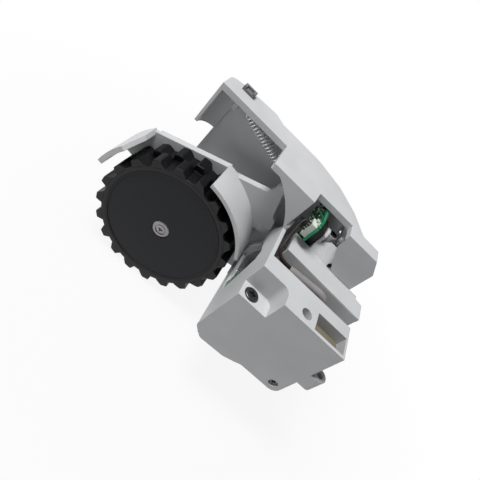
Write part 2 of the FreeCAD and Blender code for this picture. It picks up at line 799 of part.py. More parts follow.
def well_wall():
    """Inboard wall of the wheel bay, rounded forward at its upper end."""
    upper = prism_y([
        (back_left, corner_low, 0), (back_left, deck_top - 1, 0), (end_right, deck_top - 20, 0),
        (end_right, box_low, 4), (-62.0, box_low, 8), (back_left, 4.0, 4),
    ], back_face, back_face + back_thick)
    trim = prism_y([
        (12.0, deck_top, 0), (60.0, deck_top, 0), (60.0, 20.0, 0), (12.0, deck_top - 6, 0),
    ], back_face - 2, back_face + 6)
    upper_left = prism_y([
        (back_left, box_top, 0), (back_left, deck_top - 1, 0), (-5.0, deck_top - 1, 0),
        (9.0, deck_top - 8, 0),
        (12.0, deck_top - 10.5, 0), (12.0, box_top, 0),
    ], back_face, back_face + back_thick)
    corner_radius = back_face - deck_front
    centre_x = deck_left + 1 + corner_radius
    bend = rod_z(centre_x, deck_front, corner_radius + 1, corner_low, deck_top - 1)
    bend = bend.cut(rod_z(centre_x, deck_front, corner_radius - 0.6, corner_low - 1, deck_top))
    bend = bend.common(block(deck_left - 2, centre_x, deck_front, back_face + 4, corner_low, deck_top - 1))
    return join([upper.cut(trim), upper_left, bend])


def box_outline(offset):
    """Outline of the connector box seen from outboard, wall thickness taken off by offset."""
    return [
        (box_left + offset, box_top - offset, 0), (box_left + offset, -8.6 + offset * 0.6, 3.5),
        (-8.4 + offset * 0.4, box_low + offset, 3), (4.6 - offset * 0.2, box_low + 0.7 + offset, 1),
        (9.6, -10.9 + offset, 2), (13.0, box_floor + offset, 2), (box_right - offset,
            box_floor + 0.3 + offset, 4),
        (box_right - offset, box_top - offset, 0),
    ]


def connector_box():
    """Hollow box with its corner recess, channel beside the flap and socket for the contacts."""
    outer = prism_y(box_outline(0), box_face, flap_inner)
    inner = prism_y(box_outline(wall), box_face + wall, flap_inner + 1)
    shell = outer.cut(inner)
    inner_wall = block(box_left + 0.5, box_right, top_inner - wall, top_inner, channel_floor, box_top)
    floor = block(flap_left, box_right, top_inner - wall, flap_face + wall, channel_floor - wall,
                  channel_floor)
    lean_face = flap_face - flap_lean
    flap_wall = prism_z([
        (flap_left, flap_face, 0), (box_right, lean_face, 0), (box_right, lean_face + wall, 0),
        (flap_left, flap_face + wall, 0),
    ], channel_floor - wall, box_top - 0.5)
    flap_top = prism_z([
        (flap_left, flap_face, 0), (flap_right, lean_face, 0), (flap_right, flap_tip, 1),
        (flap_left, flap_root, 0.5),
    ], box_top - 2.0, box_top)
    flap_end = block(box_right - 0.5, flap_right - 0.2, lean_face + 0.05, lean_face + wall, box_top - 9,
                     box_top - 0.5)
    pocket_back = prism_z([
        (box_left, box_face, 0), (recess_right + wall, box_face, 0), (recess_right + wall,
            recess_back + wall, recess_radius + wall),
        (box_left, recess_back + wall, 0),
    ], recess_floor - 2, box_top)
    boss = rod_z(screw_x, screw_y, 4.4, box_low + 3, recess_floor)
    peg_tube = rod_z(peg_x, peg_y, peg_radius + 1.5, box_top - peg_depth, box_top)
    socket = block(socket_left - wall, box_right, box_face, socket_back + wall,
                   box_top - socket_depth - wall, box_top)
    pivot_tube = rod_y(0, 0, stub_radius + bush_wall + 2.2, box_face + 1, can_back - 8.2)
    low_tube = rod_y(low_screw_x, low_screw_z, 3.9, box_face + 1, flap_inner)
    keep_in = prism_y(box_outline(0.4), box_face, flap_inner)
    posts = join([boss, peg_tube, pivot_tube, low_tube]).common(keep_in)
    slot = block(box_left + wall + 0.2, box_right + 1, top_inner, flap_face, channel_floor, box_top + 1)
    end_slot = block(box_left + wall + 0.2, flap_left, top_inner, flap_inner + 1, box_top - 6, box_top + 1)
    body = shell.cut(slot).cut(end_slot)
    body = join([body, inner_wall, floor, flap_wall, flap_top, flap_end, pocket_back, socket, posts])
    pocket = prism_z([
        (box_left - 3, box_face - 3, 0), (recess_right, box_face - 3, 0), (recess_right, recess_back,
            recess_radius),
        (box_left - 3, recess_back, 0),
    ], recess_floor, box_top + 1)
    cuts = [
        pocket,
        rod_z(screw_x, screw_y, screw_hole_radius, box_low - 1, recess_floor + 1),
        rod_z(screw_x, screw_y, screw_head_radius + 0.3, recess_floor - 1.2, recess_floor + 1),
        rod_z(peg_x, peg_y, peg_radius, box_top - peg_depth - 1, box_top + 1),
        block(socket_left, socket_right, box_face + wall, socket_back, box_top - socket_depth, box_top + 1),
        rod_y(0, 0, stub_radius + bush_wall + seat_gap, box_face + 6, can_back),
        rod_y(low_screw_x, low_screw_z, low_head_radius, box_face - 1, box_face + 2.6),
        rod_y(low_screw_x, low_screw_z, low_shank_radius + seat_gap, box_face, flap_inner + 1),
    ]
    return body.cut(join(cuts))


def side_wall():
    """Left wall between the box and the front plate, with the opening that the arm swings in."""
    sheet = prism_x([
        (flap_inner - 1.5, box_top, 0), (plate_face + 2, box_top, 2), (web_face - 0.7, 22.2, 1.5),
        (web_face - 0.7, -8.6, 1), (flap_inner - 1.5, -8.9, 0),
    ], box_left, box_left + wall)
    ramp = prism_x([
        (plate_face, box_top - 1.6, 0), (plate_face + 2, box_top - 1.6, 0), (plate_face + 2, box_top + 5,
            0),
        (plate_face, box_top + 2, 0),
    ], box_left, box_left + wall)
    cheek = prism_x([
        (2.0, 23.4, 0), (web_face - 0.7, 22.2, 0), (web_face - 0.7, 10.0, 0), (13.6, 14.6, 0),
    ], box_left + 0.4, box_left + wall + 1.0)
    return join([sheet, ramp, cheek])


def side_opening():
    """Slanted opening in the left wall, where the motor shows."""
    lens = prism_x([
        (-10.0, -1.8, 2), (-4.0, 18.6, 4), (1.0, 21.2, 3), (13.6, 16.2, 3), (web_face + 2, 8.6, 0),
        (web_face + 2, -1.2, 0), (2.0, -2.6, 4),
    ], box_left - 1, box_left + wall + 2)
    path = rod_y(last_x, last_z, shroud_radius + moving_gap, -4, web_face + 2)
    return join([lens, path.common(block(box_left - 1, box_left + wall, -4, web_face + 2, 4, 24))])


def end_block():
    """Hollow block at the far end, with its slanted shoulder."""
    front = prism_y([
        (17.6, box_top - 3, 0), (8.8, 42.9, 0), (notch_right, deck_top - 0.5, 0),
        (end_top_right, deck_top - 0.5, 0),
        (end_right, end_shoulder, 0), (end_right, box_floor, 0), (17.6, box_floor, 0),
    ], end_face, end_face + wall)
    right = block(end_right - wall, end_right, end_face, back_face + 1, box_floor, end_shoulder - 14)
    right_top = block(end_right - wall, end_right, end_face, end_face + end_depth, end_shoulder - 15,
                      end_shoulder)
    shoulder = prism_y([
        (end_top_right, deck_top, 0), (end_right, end_shoulder, 0), (end_right - wall, end_shoulder - 1, 0),
        (end_top_right - wall, deck_top - 1.5, 0),
    ], end_face, end_face + end_depth)
    back = block(12.6, end_right - wall + 0.2, end_face + end_depth - wall, end_face + end_depth,
                 box_top - 4, end_shoulder)
    notch_wall = block(notch_right + 2.6, end_top_right - wall, notch_back, notch_back + wall, 40.0,
                       deck_top - 1)
    ramp_profile = [
        (end_face + 0.3, ramp_low, 0), (ramp_back, ramp_high, 0), (ramp_back, ramp_high - 1.8, 0),
        (end_face + 0.3, ramp_low - 1.8, 0),
    ]
    ramp = prism_x(ramp_profile, 2.0, 18.5)
    raised = prism_x([(y, z + 0.5, 0) for y, z, radius in ramp_profile], 2.0, 18.5)
    keep = prism_z([
        (10.2, end_face, 0), (7.4, ramp_back + 1, 0), (18.6, ramp_back + 1, 0), (18.6, end_face, 0),
    ], ramp_low - 4, ramp_high + 2)
    corner = prism_z([(0, 15.6, 0), (3.2, 16.2, 0), (7.2, 18.4, 0), (7.2, 24, 0), (0, 24, 0)], 25, 45)
    ramp = join([ramp.cut(corner), raised.common(keep)])
    ramp = ramp.cut(rod_y(14.4, 32.6, 1.3, end_face + 0.5, ramp_back))
    post = rod_z(post_bush_x, post_bush_y, post_bush_radius + 0.9, 28.0, post_bush_top)
    post = post.cut(rod_z(post_bush_x, post_bush_y, post_bush_radius + seat_gap, post_bush_top - 7,
                          post_bush_top + 1))
    fin = prism_x([
        (switch_front + 1, shelf_top, 0), (switch_front + 1, switch_high - 2, 1), (switch_front + 3,
            switch_high, 2),
        (switch_back - 1.4, switch_high, 4), (switch_back - 0.4, shelf_top, 0),
    ], fin_left, fin_right)
    fin_root = block(fin_left, 9.0, 19.0, 24.0, 28.0, 33.0)
    shelf = block(board_x + board_thick, fin_right, switch_front, switch_back, shelf_top - shelf_thick,
                  shelf_top)
    shelf_arm = block(fin_left, end_right - 1, switch_front + 0.4, switch_front + 3.4, shelf_top - 0.4,
                      ramp_low)
    shelf_root = block(fin_left, 18.0, switch_back - 8, switch_back, shelf_top - shelf_thick, shelf_top)
    tie = block(2.4, 16.5, ramp_back - 1.2, ramp_back + 1.0, shelf_top - 0.4, ramp_high - 2.4)
    hang = block(9.0, 18.0, ramp_back, back_face + 0.5, 42.0, 43.6)
    return join([front, right, right_top, shoulder, back, notch_wall, ramp, post, fin, fin_root, shelf,
                 shelf_arm, shelf_root, tie, hang])


def floor_plate():
    """Floor under the pivot end, between the box and the well wall."""
    ramp = prism_y([
        (-9.0, box_low, 0), (8.0, box_low, 0), (14.0, box_floor, 0), (end_right, box_floor, 0),
        (end_right, box_floor + wall, 0), (14.6, box_floor + wall, 0), (8.4, box_low + wall, 0),
        (-9.0, box_low + wall, 0),
    ], flap_inner - 0.5, web_face - 0.5)
    return ramp


def frame_housing():
    """The one large moulding: deck, front plate, well wall, connector box and end block."""
    body = join([deck(), front_plate(), well_wall()])
    box = connector_box()
    body = join([body, box, side_wall(), end_block(), floor_plate()])
    low_floor = block(14.0, end_right, end_face, back_face + 1, box_floor, box_floor + wall)
    ribs = []
    for x in (-62.0, -52.0, -30.0, -18.0, -6.0):
        reach = 42.0 if x < -20 else 37.6 + (-x) * 0.22
        ribs.append(prism_x([
            (back_face + 1, deck_top - deck_thick + 0.5, 0), (reach, deck_top - deck_thick + 0.5, 0),
            (reach, deck_top - deck_thick - 3, 0), (back_face + 1, deck_top - deck_thick - 14, 0),
        ], x, x + 1.4))
    post = rod_y(post_x, post_z, 2.2, spring_y + 1.6, back_face + 0.5)
    stop = block(post_x - 4.8, post_x - 2.6, deck_front + lip_width - 0.2, back_face + 0.5, 45.4,
                 relief_top + 0.3)
    ears = []
    for x, z in ear_places():
        ears.append(block(x - ear_radius, x + ear_radius, back_face + 1, back_face + 6, z - ear_thick / 2,
                          z + ear_thick / 2))
        ears.append(rod_z(x, back_face + 6, ear_radius, z - ear_thick / 2, z + ear_thick / 2))
    lug = rod_z(lug_x, lug_y, lug_radius, lug_low, lug_top)
    lug_bridge = block(box_right - 1, lug_x, lug_y - lug_radius, lug_y + lug_radius, lug_low, lug_top - 0.6)
    body = join([body, low_floor, post, stop, lug, lug_bridge] + ribs + ears)
    cuts = [
        side_opening(),
        prism_y([(window_left, window_high, 3), (window_right, window_high, 3),
                 (window_right, window_low, 3),
                 (window_left, window_low, 3)], back_face - 1, back_face + back_thick + 0.01),
        rod_z(lug_x, lug_y, lug_hole_radius, lug_low - 1, lug_top + 1),
        rod_y(post_x, post_z, pin_radius, spring_y, back_face + 0.2),
    ]
    for x, z in ear_places():
        cuts.append(rod_z(x, back_face + 6, ear_hole_radius, z - ear_thick, z + ear_thick))
    for x, z in cover_screw_places():
        cuts.append(rod_y(x, z, 1.0, back_face - 1, back_face + back_thick + 1))
    return body.cut(join(cuts))


def ear_places():
    """Mounting ears on the far side, each with a vertical screw hole."""
    return [(-50.0, 8.0), (21.0, 8.0)]


def cover_screw_places():
    middle = (window_low + window_high) / 2
    left = (window_left + cover_left) / 2
    high = (window_high + cover_high) / 2
    return [(left, middle + 9), (left, middle - 9), (-5.0, high), (10.0, high)]


def pivot_cover():
    """Cover over the arm's window, with the inner pivot bearing."""
    start = back_face + back_thick
    plate = prism_y([(cover_left, cover_high, 3), (cover_right, cover_high, 3), (cover_right, cover_low, 3),
                     (cover_left, cover_low, 3)], start + seat_gap, start + seat_gap + cover_thick)
    bearing = rod_y(0, 0, trunnion_radius + bush_wall + 2, back_face + 0.2, start + 3.4)
    ribs = []
    for index in range(6):
        rib = block(6, 11.4, start + 1, start + 3.0, -0.6, 0.6)
        rib.rotate(FreeCAD.Vector(0, 0, 0), FreeCAD.Vector(0, 1, 0), 60 * index)
        ribs.append(rib)
    body = join([plate, bearing] + ribs)
    cuts = [rod_y(0, 0, trunnion_radius + bush_wall + seat_gap, back_face - 1, start + 5)]
    for x, z in cover_screw_places():
        cuts.append(rod_y(x, z, 1.2, back_face, start + 4))
    return body.cut(join(cuts))


def cover_screws():
    start = back_face + back_thick + seat_gap + cover_thick
    solids = []
    for x, z in cover_screw_places():
        shank = rod_y(x, z, 0.95, back_face + 0.3, start)
        head = rod_y(x, z, 2.1, start, start + 1.3)
        screw = shank.fuse(head)
        recess = cross_recess(x, z, 0, "z", 2.2, 0.7)
        recess.rotate(FreeCAD.Vector(x, z, 0), FreeCAD.Vector(1, 0, 0), -90)
        recess.translate(FreeCAD.Vector(0, start + 1.3 - z, z))
        solids.append(screw.cut(recess))
    return Part.makeCompound(solids)


def mount_screw():
    """Captive mounting screw in the corner recess of the box."""
    seat = recess_floor - 1.2
    tip_top = box_low - screw_tip_gap
    shank = rod_z(screw_x, screw_y, screw_hole_radius - 0.15, tip_top, seat)
    tip = rod_z(screw_x, screw_y, screw_tip_radius, tip_top - screw_tip_length, tip_top)
    head = rod_z(screw_x, screw_y, screw_head_radius, seat, seat + 1.7)
    rim_edges = [edge for edge in head.Edges if abs(edge.CenterOfMass.z - seat - 1.7) < 1e-3]
    head = head.makeFillet(0.5, rim_edges)
    return join([shank, tip, head]).cut(cross_recess(screw_x, screw_y, seat + 1.7, "z", 3.2, 1.1))


def box_screw():
    """Screw in the lower corner of the box's front."""
    seat = box_face + 2.6
    shank = rod_y(low_screw_x, low_screw_z, low_shank_radius, seat, flap_inner - 2)
    head = rod_y(low_screw_x, low_screw_z, low_head_radius - 0.2, seat - 1.6, seat)
    return shank.fuse(head).cut(cross_recess(low_screw_x, seat - 1.6, low_screw_z, "y", 2.6, 0.8))


def connector_body():
    """Contact carrier in the socket of the box."""
    low = box_top - socket_depth
    face = box_face + wall + carrier_depth
    body = block(socket_left + 0.8, carrier_right, box_face + wall, face, low, box_top - carrier_drop)
    foot = block(socket_left + 0.8, carrier_right, face - 0.2, socket_back, low, low + 2.2)
    return join([body, foot])


def connector_contacts():
    """Row of flat contacts on the carrier."""
    low = box_top - socket_depth
    face = box_face + wall + carrier_depth
    solids = []
    for index in range(8):
        x = socket_left + 1.5 + index * 1.3
        solids.append(block(x, x + 0.7, face, face + 0.4, low + 2.2, box_top - carrier_drop))
    return Part.makeCompound(solids)


def sensor_board():
    """Green board above the pivot, standing across the module."""
    return prism_x([
        (board_front, board_foot, 0.5), (board_front, board_high - 2.6, 2), (board_front + 4, board_high,
            3),
        (board_back, board_high, 1), (board_back, board_low + 4, 1), (switch_back, board_low, 1),
        (switch_front + 0.4, board_low, 0.5), (switch_front + 0.4, board_foot, 0.5),
    ], board_x, board_x + board_thick)


def board_parts():
    """Chips and passives on the face of the board."""
    places = [
        (7.2, 9.2, 2.4, 1.8, 1.4), (10.6, 10.6, 1.6, 1.0, 1.0), (7.6, 4.8, 2.6, 2.4, 1.8),
        (13.2, 7.8, 1.6, 2.8, 1.6), (12.0, 4.0, 2.0, 1.2, 1.2), (16.8, 9.2, 1.4, 2.2, 1.4),
        (17.2, 4.6, 1.8, 1.2, 1.0), (21.0, 9.4, 2.2, 1.4, 1.2), (10.2, 1.4, 2.6, 1.0, 1.2),
        (24.6, 6.2, 2.0, 2.6, 1.4),
    ]
    solids = []
    for along, up, long_side, high, thick in places:
        y = board_front + along
        z = board_foot + up
        solids.append(block(board_x - thick, board_x, y - long_side / 2, y + long_side / 2,
                            z - high / 2, z + high / 2))
    return Part.makeCompound(solids)


def board_socket():
    """Pale wire socket on the front part of the board, open towards the wires."""
    body = block(board_x - socket_reach, board_x, socket_front, socket_front + socket_width, socket_low,
                 socket_high)
    room = block(board_x - socket_reach - 1, board_x - 0.7, socket_front + 0.7,
                 socket_front + socket_width - 0.7,
                 socket_low + 0.8, socket_high - 0.8)
    return body.cut(room)


def switch_body():
    """Black switch block behind the board, on its shelf."""
    left = board_x + board_thick + seat_gap
    body = prism_x([
        (switch_front, plunger_z - 3, 0), (switch_front, switch_high, 0.6), (switch_back, switch_high, 0.6),
        (switch_back, plunger_z - 3, 0),
    ], left, switch_right)
    bore = rod_x(web_face + web_thick / 2 - 0.2, plunger_z, plunger_radius + run_gap, left - 1, left + 4)
    return body.cut(bore)


def switch_plunger():
    tip = web_end + moving_gap
    left = board_x + board_thick + seat_gap
    y = web_face + web_thick / 2 - 0.2
    stem = rod_x(y, plunger_z, plunger_radius, tip, left + 4 - plunger_travel - 0.4)
    return stem


def boss_ring():
    """Dark bush in the round post beside the switch."""
    return tube_z(post_bush_x, post_bush_y, post_bush_radius, 1.2, post_bush_top - 7, post_bush_top + 0.6)


def spring_post_pin():
    """Pin that holds the fixed end of the spring."""
    return rod_y(post_x, post_z, pin_radius - 0.02, spring_y - 2.2, back_face + 0.1)


def tension_spring():
    """Extension spring with a round loop at each end, set along its line of pull."""
    run = math.hypot(hook_x - post_x, hook_z - post_z)
    lead = 4.4
    coil_run = run - 2 * lead
    helix = Part.makeHelix(coil_run / coil_turns, coil_run, coil_radius)
    start = FreeCAD.Vector(coil_radius, 0, 0)
    circle = Part.Wire(Part.makeCircle(wire_radius, start, FreeCAD.Vector(0, 1, 0)))
    coil = Part.Wire(helix).makePipeShell([circle], True, True)
    coil.translate(FreeCAD.Vector(0, 0, lead))
    pieces = [coil]
    for middle, bend, end in ((0, loop_radius, lead), (run, run - loop_radius, run - lead)):
        pieces.append(Part.makeTorus(loop_radius, wire_radius, FreeCAD.Vector(0, 0, middle),
                                     FreeCAD.Vector(0, 1, 0)))
        lower = FreeCAD.Vector(0, 0, bend)
        upper = FreeCAD.Vector(coil_radius, 0, end)
        pieces.append(Part.makeCylinder(wire_radius * 0.94, upper.distanceToPoint(lower), lower,
                                        upper - lower))
        pieces.append(Part.makeSphere(wire_radius * 1.08, upper))
    spring = pieces[0]
    for piece in pieces[1:]:
        spring = spring.fuse(piece)
    lean = math.degrees(math.atan2(hook_x - post_x, hook_z - post_z))
    spring.rotate(FreeCAD.Vector(0, 0, 0), FreeCAD.Vector(0, 1, 0), lean)
    spring.translate(FreeCAD.Vector(post_x, spring_y, post_z))
    return spring


def wire_path(points, radius):
    """Round wire through the points, with a bend of matching radius at each inner point."""
    vectors = [FreeCAD.Vector(x, y, z) for x, y, z in points]
    edges = []
    last = vectors[0]
    for index in range(1, len(vectors) - 1):
        back = vectors[index - 1] - vectors[index]
        ahead = vectors[index + 1] - vectors[index]
        turn = math.pi - back.getAngle(ahead)
        bend = 0.45 * min(back.Length, ahead.Length) / math.tan(turn / 2)
        reach = bend * math.tan(turn / 2)
        back.normalize()
        ahead.normalize()
        start = vectors[index] + back * reach
        end = vectors[index] + ahead * reach
        inward = back + ahead
        inward.normalize()
        middle = vectors[index] + inward * (bend / math.cos(turn / 2) - bend)
        edges.append(Part.LineSegment(last, start).toShape())
        edges.append(Part.Arc(start, middle, end).toShape())
        last = end
        print("bend radius", round(bend, 2))
    edges.append(Part.LineSegment(last, vectors[-1]).toShape())
    path = Part.Wire(edges)
    circle = Part.Wire(Part.makeCircle(radius, vectors[0], vectors[1] - vectors[0]))
    return path.makePipeShell([circle], True, True)


def cable_sleeve():
    """Grey sleeve round the wires, lying in the channel beside the flap."""
    outer = wire_path(sleeve_points(), sleeve_radius)
    inner = wire_path(sleeve_points(), sleeve_radius - 0.5)
    return outer.cut(inner)


def sleeve_points():
    y = flap_face - sleeve_clear - sleeve_radius
    return [(-1.4, y, box_top - 4.8), (7.0, y - 0.1, box_top - 3.8), (17.6, y - 0.5, box_top - 2.6),
            (21.4, y - 0.7, box_top - 8.0), (21.8, y - 0.8, box_top - 14.0)]


def sensor_wires():
    """Thin wires from the board's socket round the flap's end and into the sleeve."""
    start, follow = sleeve_points()[:2]
    middle = socket_front + socket_width / 2
    pitch = (socket_high - socket_low - 3.2) / (wire_count - 1)
    solids = []
    for index in range(wire_count):
        side = (index % 2 - 0.5) * 0.9
        lift = (index // 2 - 0.5) * 0.9
        high = socket_low + 1.6 + pitch * index
        points = [
            (board_x - 0.9, middle, high), (-11.2, middle + side * 0.4, high - 0.3),
            (-10.6, start[1] + side, start[2] + 1.6 + lift), (start[0] + 1.2, start[1] + side,
                start[2] + 0.14 + lift),
        ]
        solids.append(wire_path(points, wire_radius))
    return Part.makeCompound(solids)


def deck_pad():
    """Dark pad clipped on the deck's far edge."""
    pad = block(deck_shoulder, deck_shoulder + 6.6, 38.0, 42.0, deck_top, deck_top + 2.2)
    return pad.cut(block(deck_shoulder + 1.4, deck_shoulder + 5.2, 37.0, 40.6, deck_top + 1.2,
                         deck_top + 3))


def main():
    os.makedirs(parts_folder, exist_ok=True)
    save("frame_housing", frame_housing())
    save("pivot_cover", pivot_cover())
    save("cover_screws", cover_screws())
    save("pivot_bush", tube_y(0, 0, trunnion_radius + bush_wall, trunnion_radius + run_gap,
                              back_face + 0.2, back_face + back_thick + 3.4))
    save("stub_bush", tube_y(0, 0, stub_radius + bush_wall, stub_radius + run_gap, box_face + 8,
                             can_back - 8.2))
    save("mount_screw", mount_screw())
    save("box_screw", box_screw())
    save("connector_body", connector_body())
    save("connector_contacts", connector_contacts())
    save("cable_sleeve", cable_sleeve())
    save("sensor_wires", sensor_wires())
    save("sensor_board", sensor_board())
    save("board_parts", board_parts())
    save("board_socket", board_socket())
    save("switch_body", switch_body())
    save("switch_plunger", switch_plunger())
    save("boss_ring", boss_ring())
    save("deck_pad", deck_pad())
    save("spring_pin", spring_post_pin())
    save("tension_spring", tension_spring())
    save("arm_case", dropped(arm_case()))
    save("arm_cover", dropped(arm_cover()))
    save("case_screws", case_screws())
    save("shaft_bush_outer", shaft_bush(web_face, gear_floor))
    save("shaft_bush_inner", shaft_bush(cover_face, cover_back))
    save("gear_axles", Part.makeCompound([gear_axle(first_x, first_z), gear_axle(second_x, second_z)]))
    save("motor_can", dropped(motor_can()))
    save("motor_bell", dropped(motor_bell()))
    save("encoder_board", dropped(encoder_board()))
    save("encoder_parts", encoder_parts())
    save("motor_cap", dropped(motor_cap()))
    save("magnet_ring", dropped(magnet_ring()))
    save("motor_shaft", dropped(motor_shaft()))
    save("motor_pinion", dropped(gear(0, 0, fast_module, pinion_teeth, fast_start, fast_start + fast_width,
                                      motor_shaft_radius, pinion_turn)))
    save("first_gear", dropped(double_gear(
        first_x, first_z, (fast_module, first_wheel_teeth), fast_start, fast_width,
        (middle_module, first_pinion_teeth), middle_start - layer_gap, middle_width + layer_gap,
        first_turn, first_turn_small)))
    save("second_gear", dropped(double_gear(
        second_x, second_z, (middle_module, second_wheel_teeth), middle_start, middle_width,
        (slow_module, second_pinion_teeth), slow_start - layer_gap, slow_width + layer_gap,
        second_turn, second_turn_small)))
    save("output_gear", dropped(gear(last_x, last_z, slow_module, output_teeth, slow_start,
                                     slow_start + slow_width, shaft_radius, output_turn)))
    save("wheel_rim", wheel_rim())
    save("tyre", tyre())
    save("hub_screw", hub_screw())
    save("drive_shaft", drive_shaft())


if __name__ == "__main__":
    main()
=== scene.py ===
import json
import math

import bmesh
import bpy
from mathutils import Matrix, Vector


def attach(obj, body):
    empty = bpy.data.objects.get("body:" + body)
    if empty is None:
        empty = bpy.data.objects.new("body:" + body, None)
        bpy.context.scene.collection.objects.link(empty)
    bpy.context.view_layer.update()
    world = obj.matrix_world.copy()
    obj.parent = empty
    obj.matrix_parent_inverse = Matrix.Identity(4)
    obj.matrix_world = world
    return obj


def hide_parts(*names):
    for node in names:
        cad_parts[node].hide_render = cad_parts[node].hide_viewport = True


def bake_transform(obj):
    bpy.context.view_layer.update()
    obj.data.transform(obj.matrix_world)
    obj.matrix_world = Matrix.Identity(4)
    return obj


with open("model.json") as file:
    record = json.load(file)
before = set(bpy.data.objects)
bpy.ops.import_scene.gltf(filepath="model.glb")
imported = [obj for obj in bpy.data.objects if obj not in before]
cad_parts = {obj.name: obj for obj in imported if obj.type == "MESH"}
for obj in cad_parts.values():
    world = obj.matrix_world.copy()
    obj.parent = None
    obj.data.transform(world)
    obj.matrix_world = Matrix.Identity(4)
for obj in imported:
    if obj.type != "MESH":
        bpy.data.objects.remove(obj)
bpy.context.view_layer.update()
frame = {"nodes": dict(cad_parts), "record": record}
print("frame loaded")

mm = 0.001
quarterTurn = math.pi / 2
weldGap = 1e-7
edgeSamples = 6
pivot = Vector((-37.2, 25.9, -6.0))  # the arm's pivot, in the plane of the wheel's outer face


def place(x, y, z):
    # millimetres from the pivot, made metres in the shared frame
    return (Vector((x, y, z)) + pivot) * mm


def addObject(name, data):
    made = bpy.data.objects.new(name, data)
    bpy.context.scene.collection.objects.link(made)
    return made


# the photograph's viewpoint
cameraValues = {
    "place": (-52.13, -148.54, 131.2),
    "right": (0.720, 0.329, 0.611),
    "up": (-0.678, 0.522, 0.518),
    "lens": 32.15,
    "sensor": 36.0,
    "clipStart": 0.005,
    "clipEnd": 20,
}


def makeCamera(values):
    data = bpy.data.cameras.new("photoCamera")
    data.lens = values["lens"]
    data.sensor_width = values["sensor"]
    data.clip_start = values["clipStart"]
    data.clip_end = values["clipEnd"]
    right = Vector(values["right"]).normalized()
    up = Vector(values["up"])
    up = (up - right * up.dot(right)).normalized()
    back = right.cross(up)
    turn = Matrix((right, up, back)).transposed().to_4x4()
    camera = addObject("photoCamera", data)
    camera.matrix_world = Matrix.Translation(place(*values["place"])) @ turn
    bpy.context.scene.camera = camera


makeCamera(cameraValues)
print("camera placed")


def emptyTree(owner):
    # the node tree of a material or world, cleared
    owner.use_nodes = True
    owner.node_tree.nodes.clear()
    return owner.node_tree


def newMaterial(name):
    material = bpy.data.materials.new(name)
    tree = emptyTree(material)
    output = tree.nodes.new("ShaderNodeOutputMaterial")
    shader = tree.nodes.new("ShaderNodeBsdfPrincipled")
    tree.links.new(shader.outputs["BSDF"], output.inputs["Surface"])
    return material, tree, shader


def addCoords(tree, scale=(1, 1, 1), turn=(0, 0, 0)):
    coords = tree.nodes.new("ShaderNodeTexCoord")
    mapping = tree.nodes.new("ShaderNodeMapping")
    mapping.inputs["Scale"].default_value = scale
    mapping.inputs["Rotation"].default_value = turn
    tree.links.new(coords.outputs["Object"], mapping.inputs["Vector"])
    return mapping.outputs["Vector"]


def addNoise(tree, vector, scale, detail, roughness=0.5):
    noise = tree.nodes.new("ShaderNodeTexNoise")
    noise.inputs["Scale"].default_value = scale
    noise.inputs["Detail"].default_value = detail
    noise.inputs["Roughness"].default_value = roughness
    tree.links.new(vector, noise.inputs["Vector"])
    return noise.outputs["Fac"]


def shade(colour, factor):
    return tuple(min(1.0, value * factor) for value in colour)


def addTint(tree, factor, colour, stops):
    # shades of one colour, each stop a place on the ramp and a brightness
    ramp = tree.nodes.new("ShaderNodeValToRGB")
    while len(ramp.color_ramp.elements) < len(stops):
        ramp.color_ramp.elements.new(0.5)
    for element, (position, brightness) in zip(ramp.color_ramp.elements, stops):
        element.position = position
        element.color = (*shade(colour, brightness), 1)
    tree.links.new(factor, ramp.inputs["Fac"])
    return ramp.outputs["Color"]


def addRange(tree, factor, low, high):
    span = tree.nodes.new("ShaderNodeMapRange")
    span.inputs["To Min"].default_value = low
    span.inputs["To Max"].default_value = high
    tree.links.new(factor, span.inputs["Value"])
    return span.outputs["Result"]


def addBump(tree, height, strength, distance, normal=None):
    bump = tree.nodes.new("ShaderNodeBump")
    bump.inputs["Strength"].default_value = strength
    bump.inputs["Distance"].default_value = distance * mm
    tree.links.new(height, bump.inputs["Height"])
    if normal is not None:
        tree.links.new(normal, bump.inputs["Normal"])
    return bump.outputs["Normal"]


def addEdges(tree, radius):
    # edges look rounded, by a radius in millimetres
    bevel = tree.nodes.new("ShaderNodeBevel")
    bevel.samples = edgeSamples
    bevel.inputs["Radius"].default_value = radius * mm
    return bevel.outputs["Normal"]


plasticValues = {
    "cloudScale": 55,
    "cloudDetail": 4,
    "darkPlace": 0.3,
    "palePlace": 0.7,
    "roughSpread": 0.06,
    "grainScale": 2600,
    "grainDetail": 2,
    "grainStrength": 0.5,
    "grainDepth": 0.02,
}


def makePlastic(name, colour, roughness, mottle=0.05, edge=0.25, coat=0.0, shine=0.4):
    # spark-eroded grain, a little flow mottle and softened edges
    values = plasticValues
    material, tree, shader = newMaterial(name)
    vector = addCoords(tree)
    cloud = addNoise(tree, vector, values["cloudScale"], values["cloudDetail"])
    stops = ((values["darkPlace"], 1 - mottle), (values["palePlace"], 1 + mottle))
    tree.links.new(addTint(tree, cloud, colour, stops), shader.inputs["Base Color"])
    rough = addRange(tree, cloud, roughness - values["roughSpread"], roughness + values["roughSpread"])
    tree.links.new(rough, shader.inputs["Roughness"])
    grain = addNoise(tree, vector, values["grainScale"], values["grainDetail"])
    normal = addEdges(tree, edge) if edge else None
    bump = addBump(tree, grain, values["grainStrength"], values["grainDepth"], normal)
    tree.links.new(bump, shader.inputs["Normal"])
    shader.inputs["Coat Weight"].default_value = coat
    shader.inputs["Specular IOR Level"].default_value = shine
    return material


metalValues = {
    "stretch": (1, 40, 1),
    "lineScale": 700,
    "lineDetail": 3,
    "lineStrength": 0.3,
    "lineDepth": 0.01,
    "cloudScale": 180,
    "cloudDetail": 3,
    "stops": ((0.3, 0.86), (0.7, 1.08)),
    "smoother": 0.08,
    "rougher": 0.1,
    "smoothest": 0.05,
}


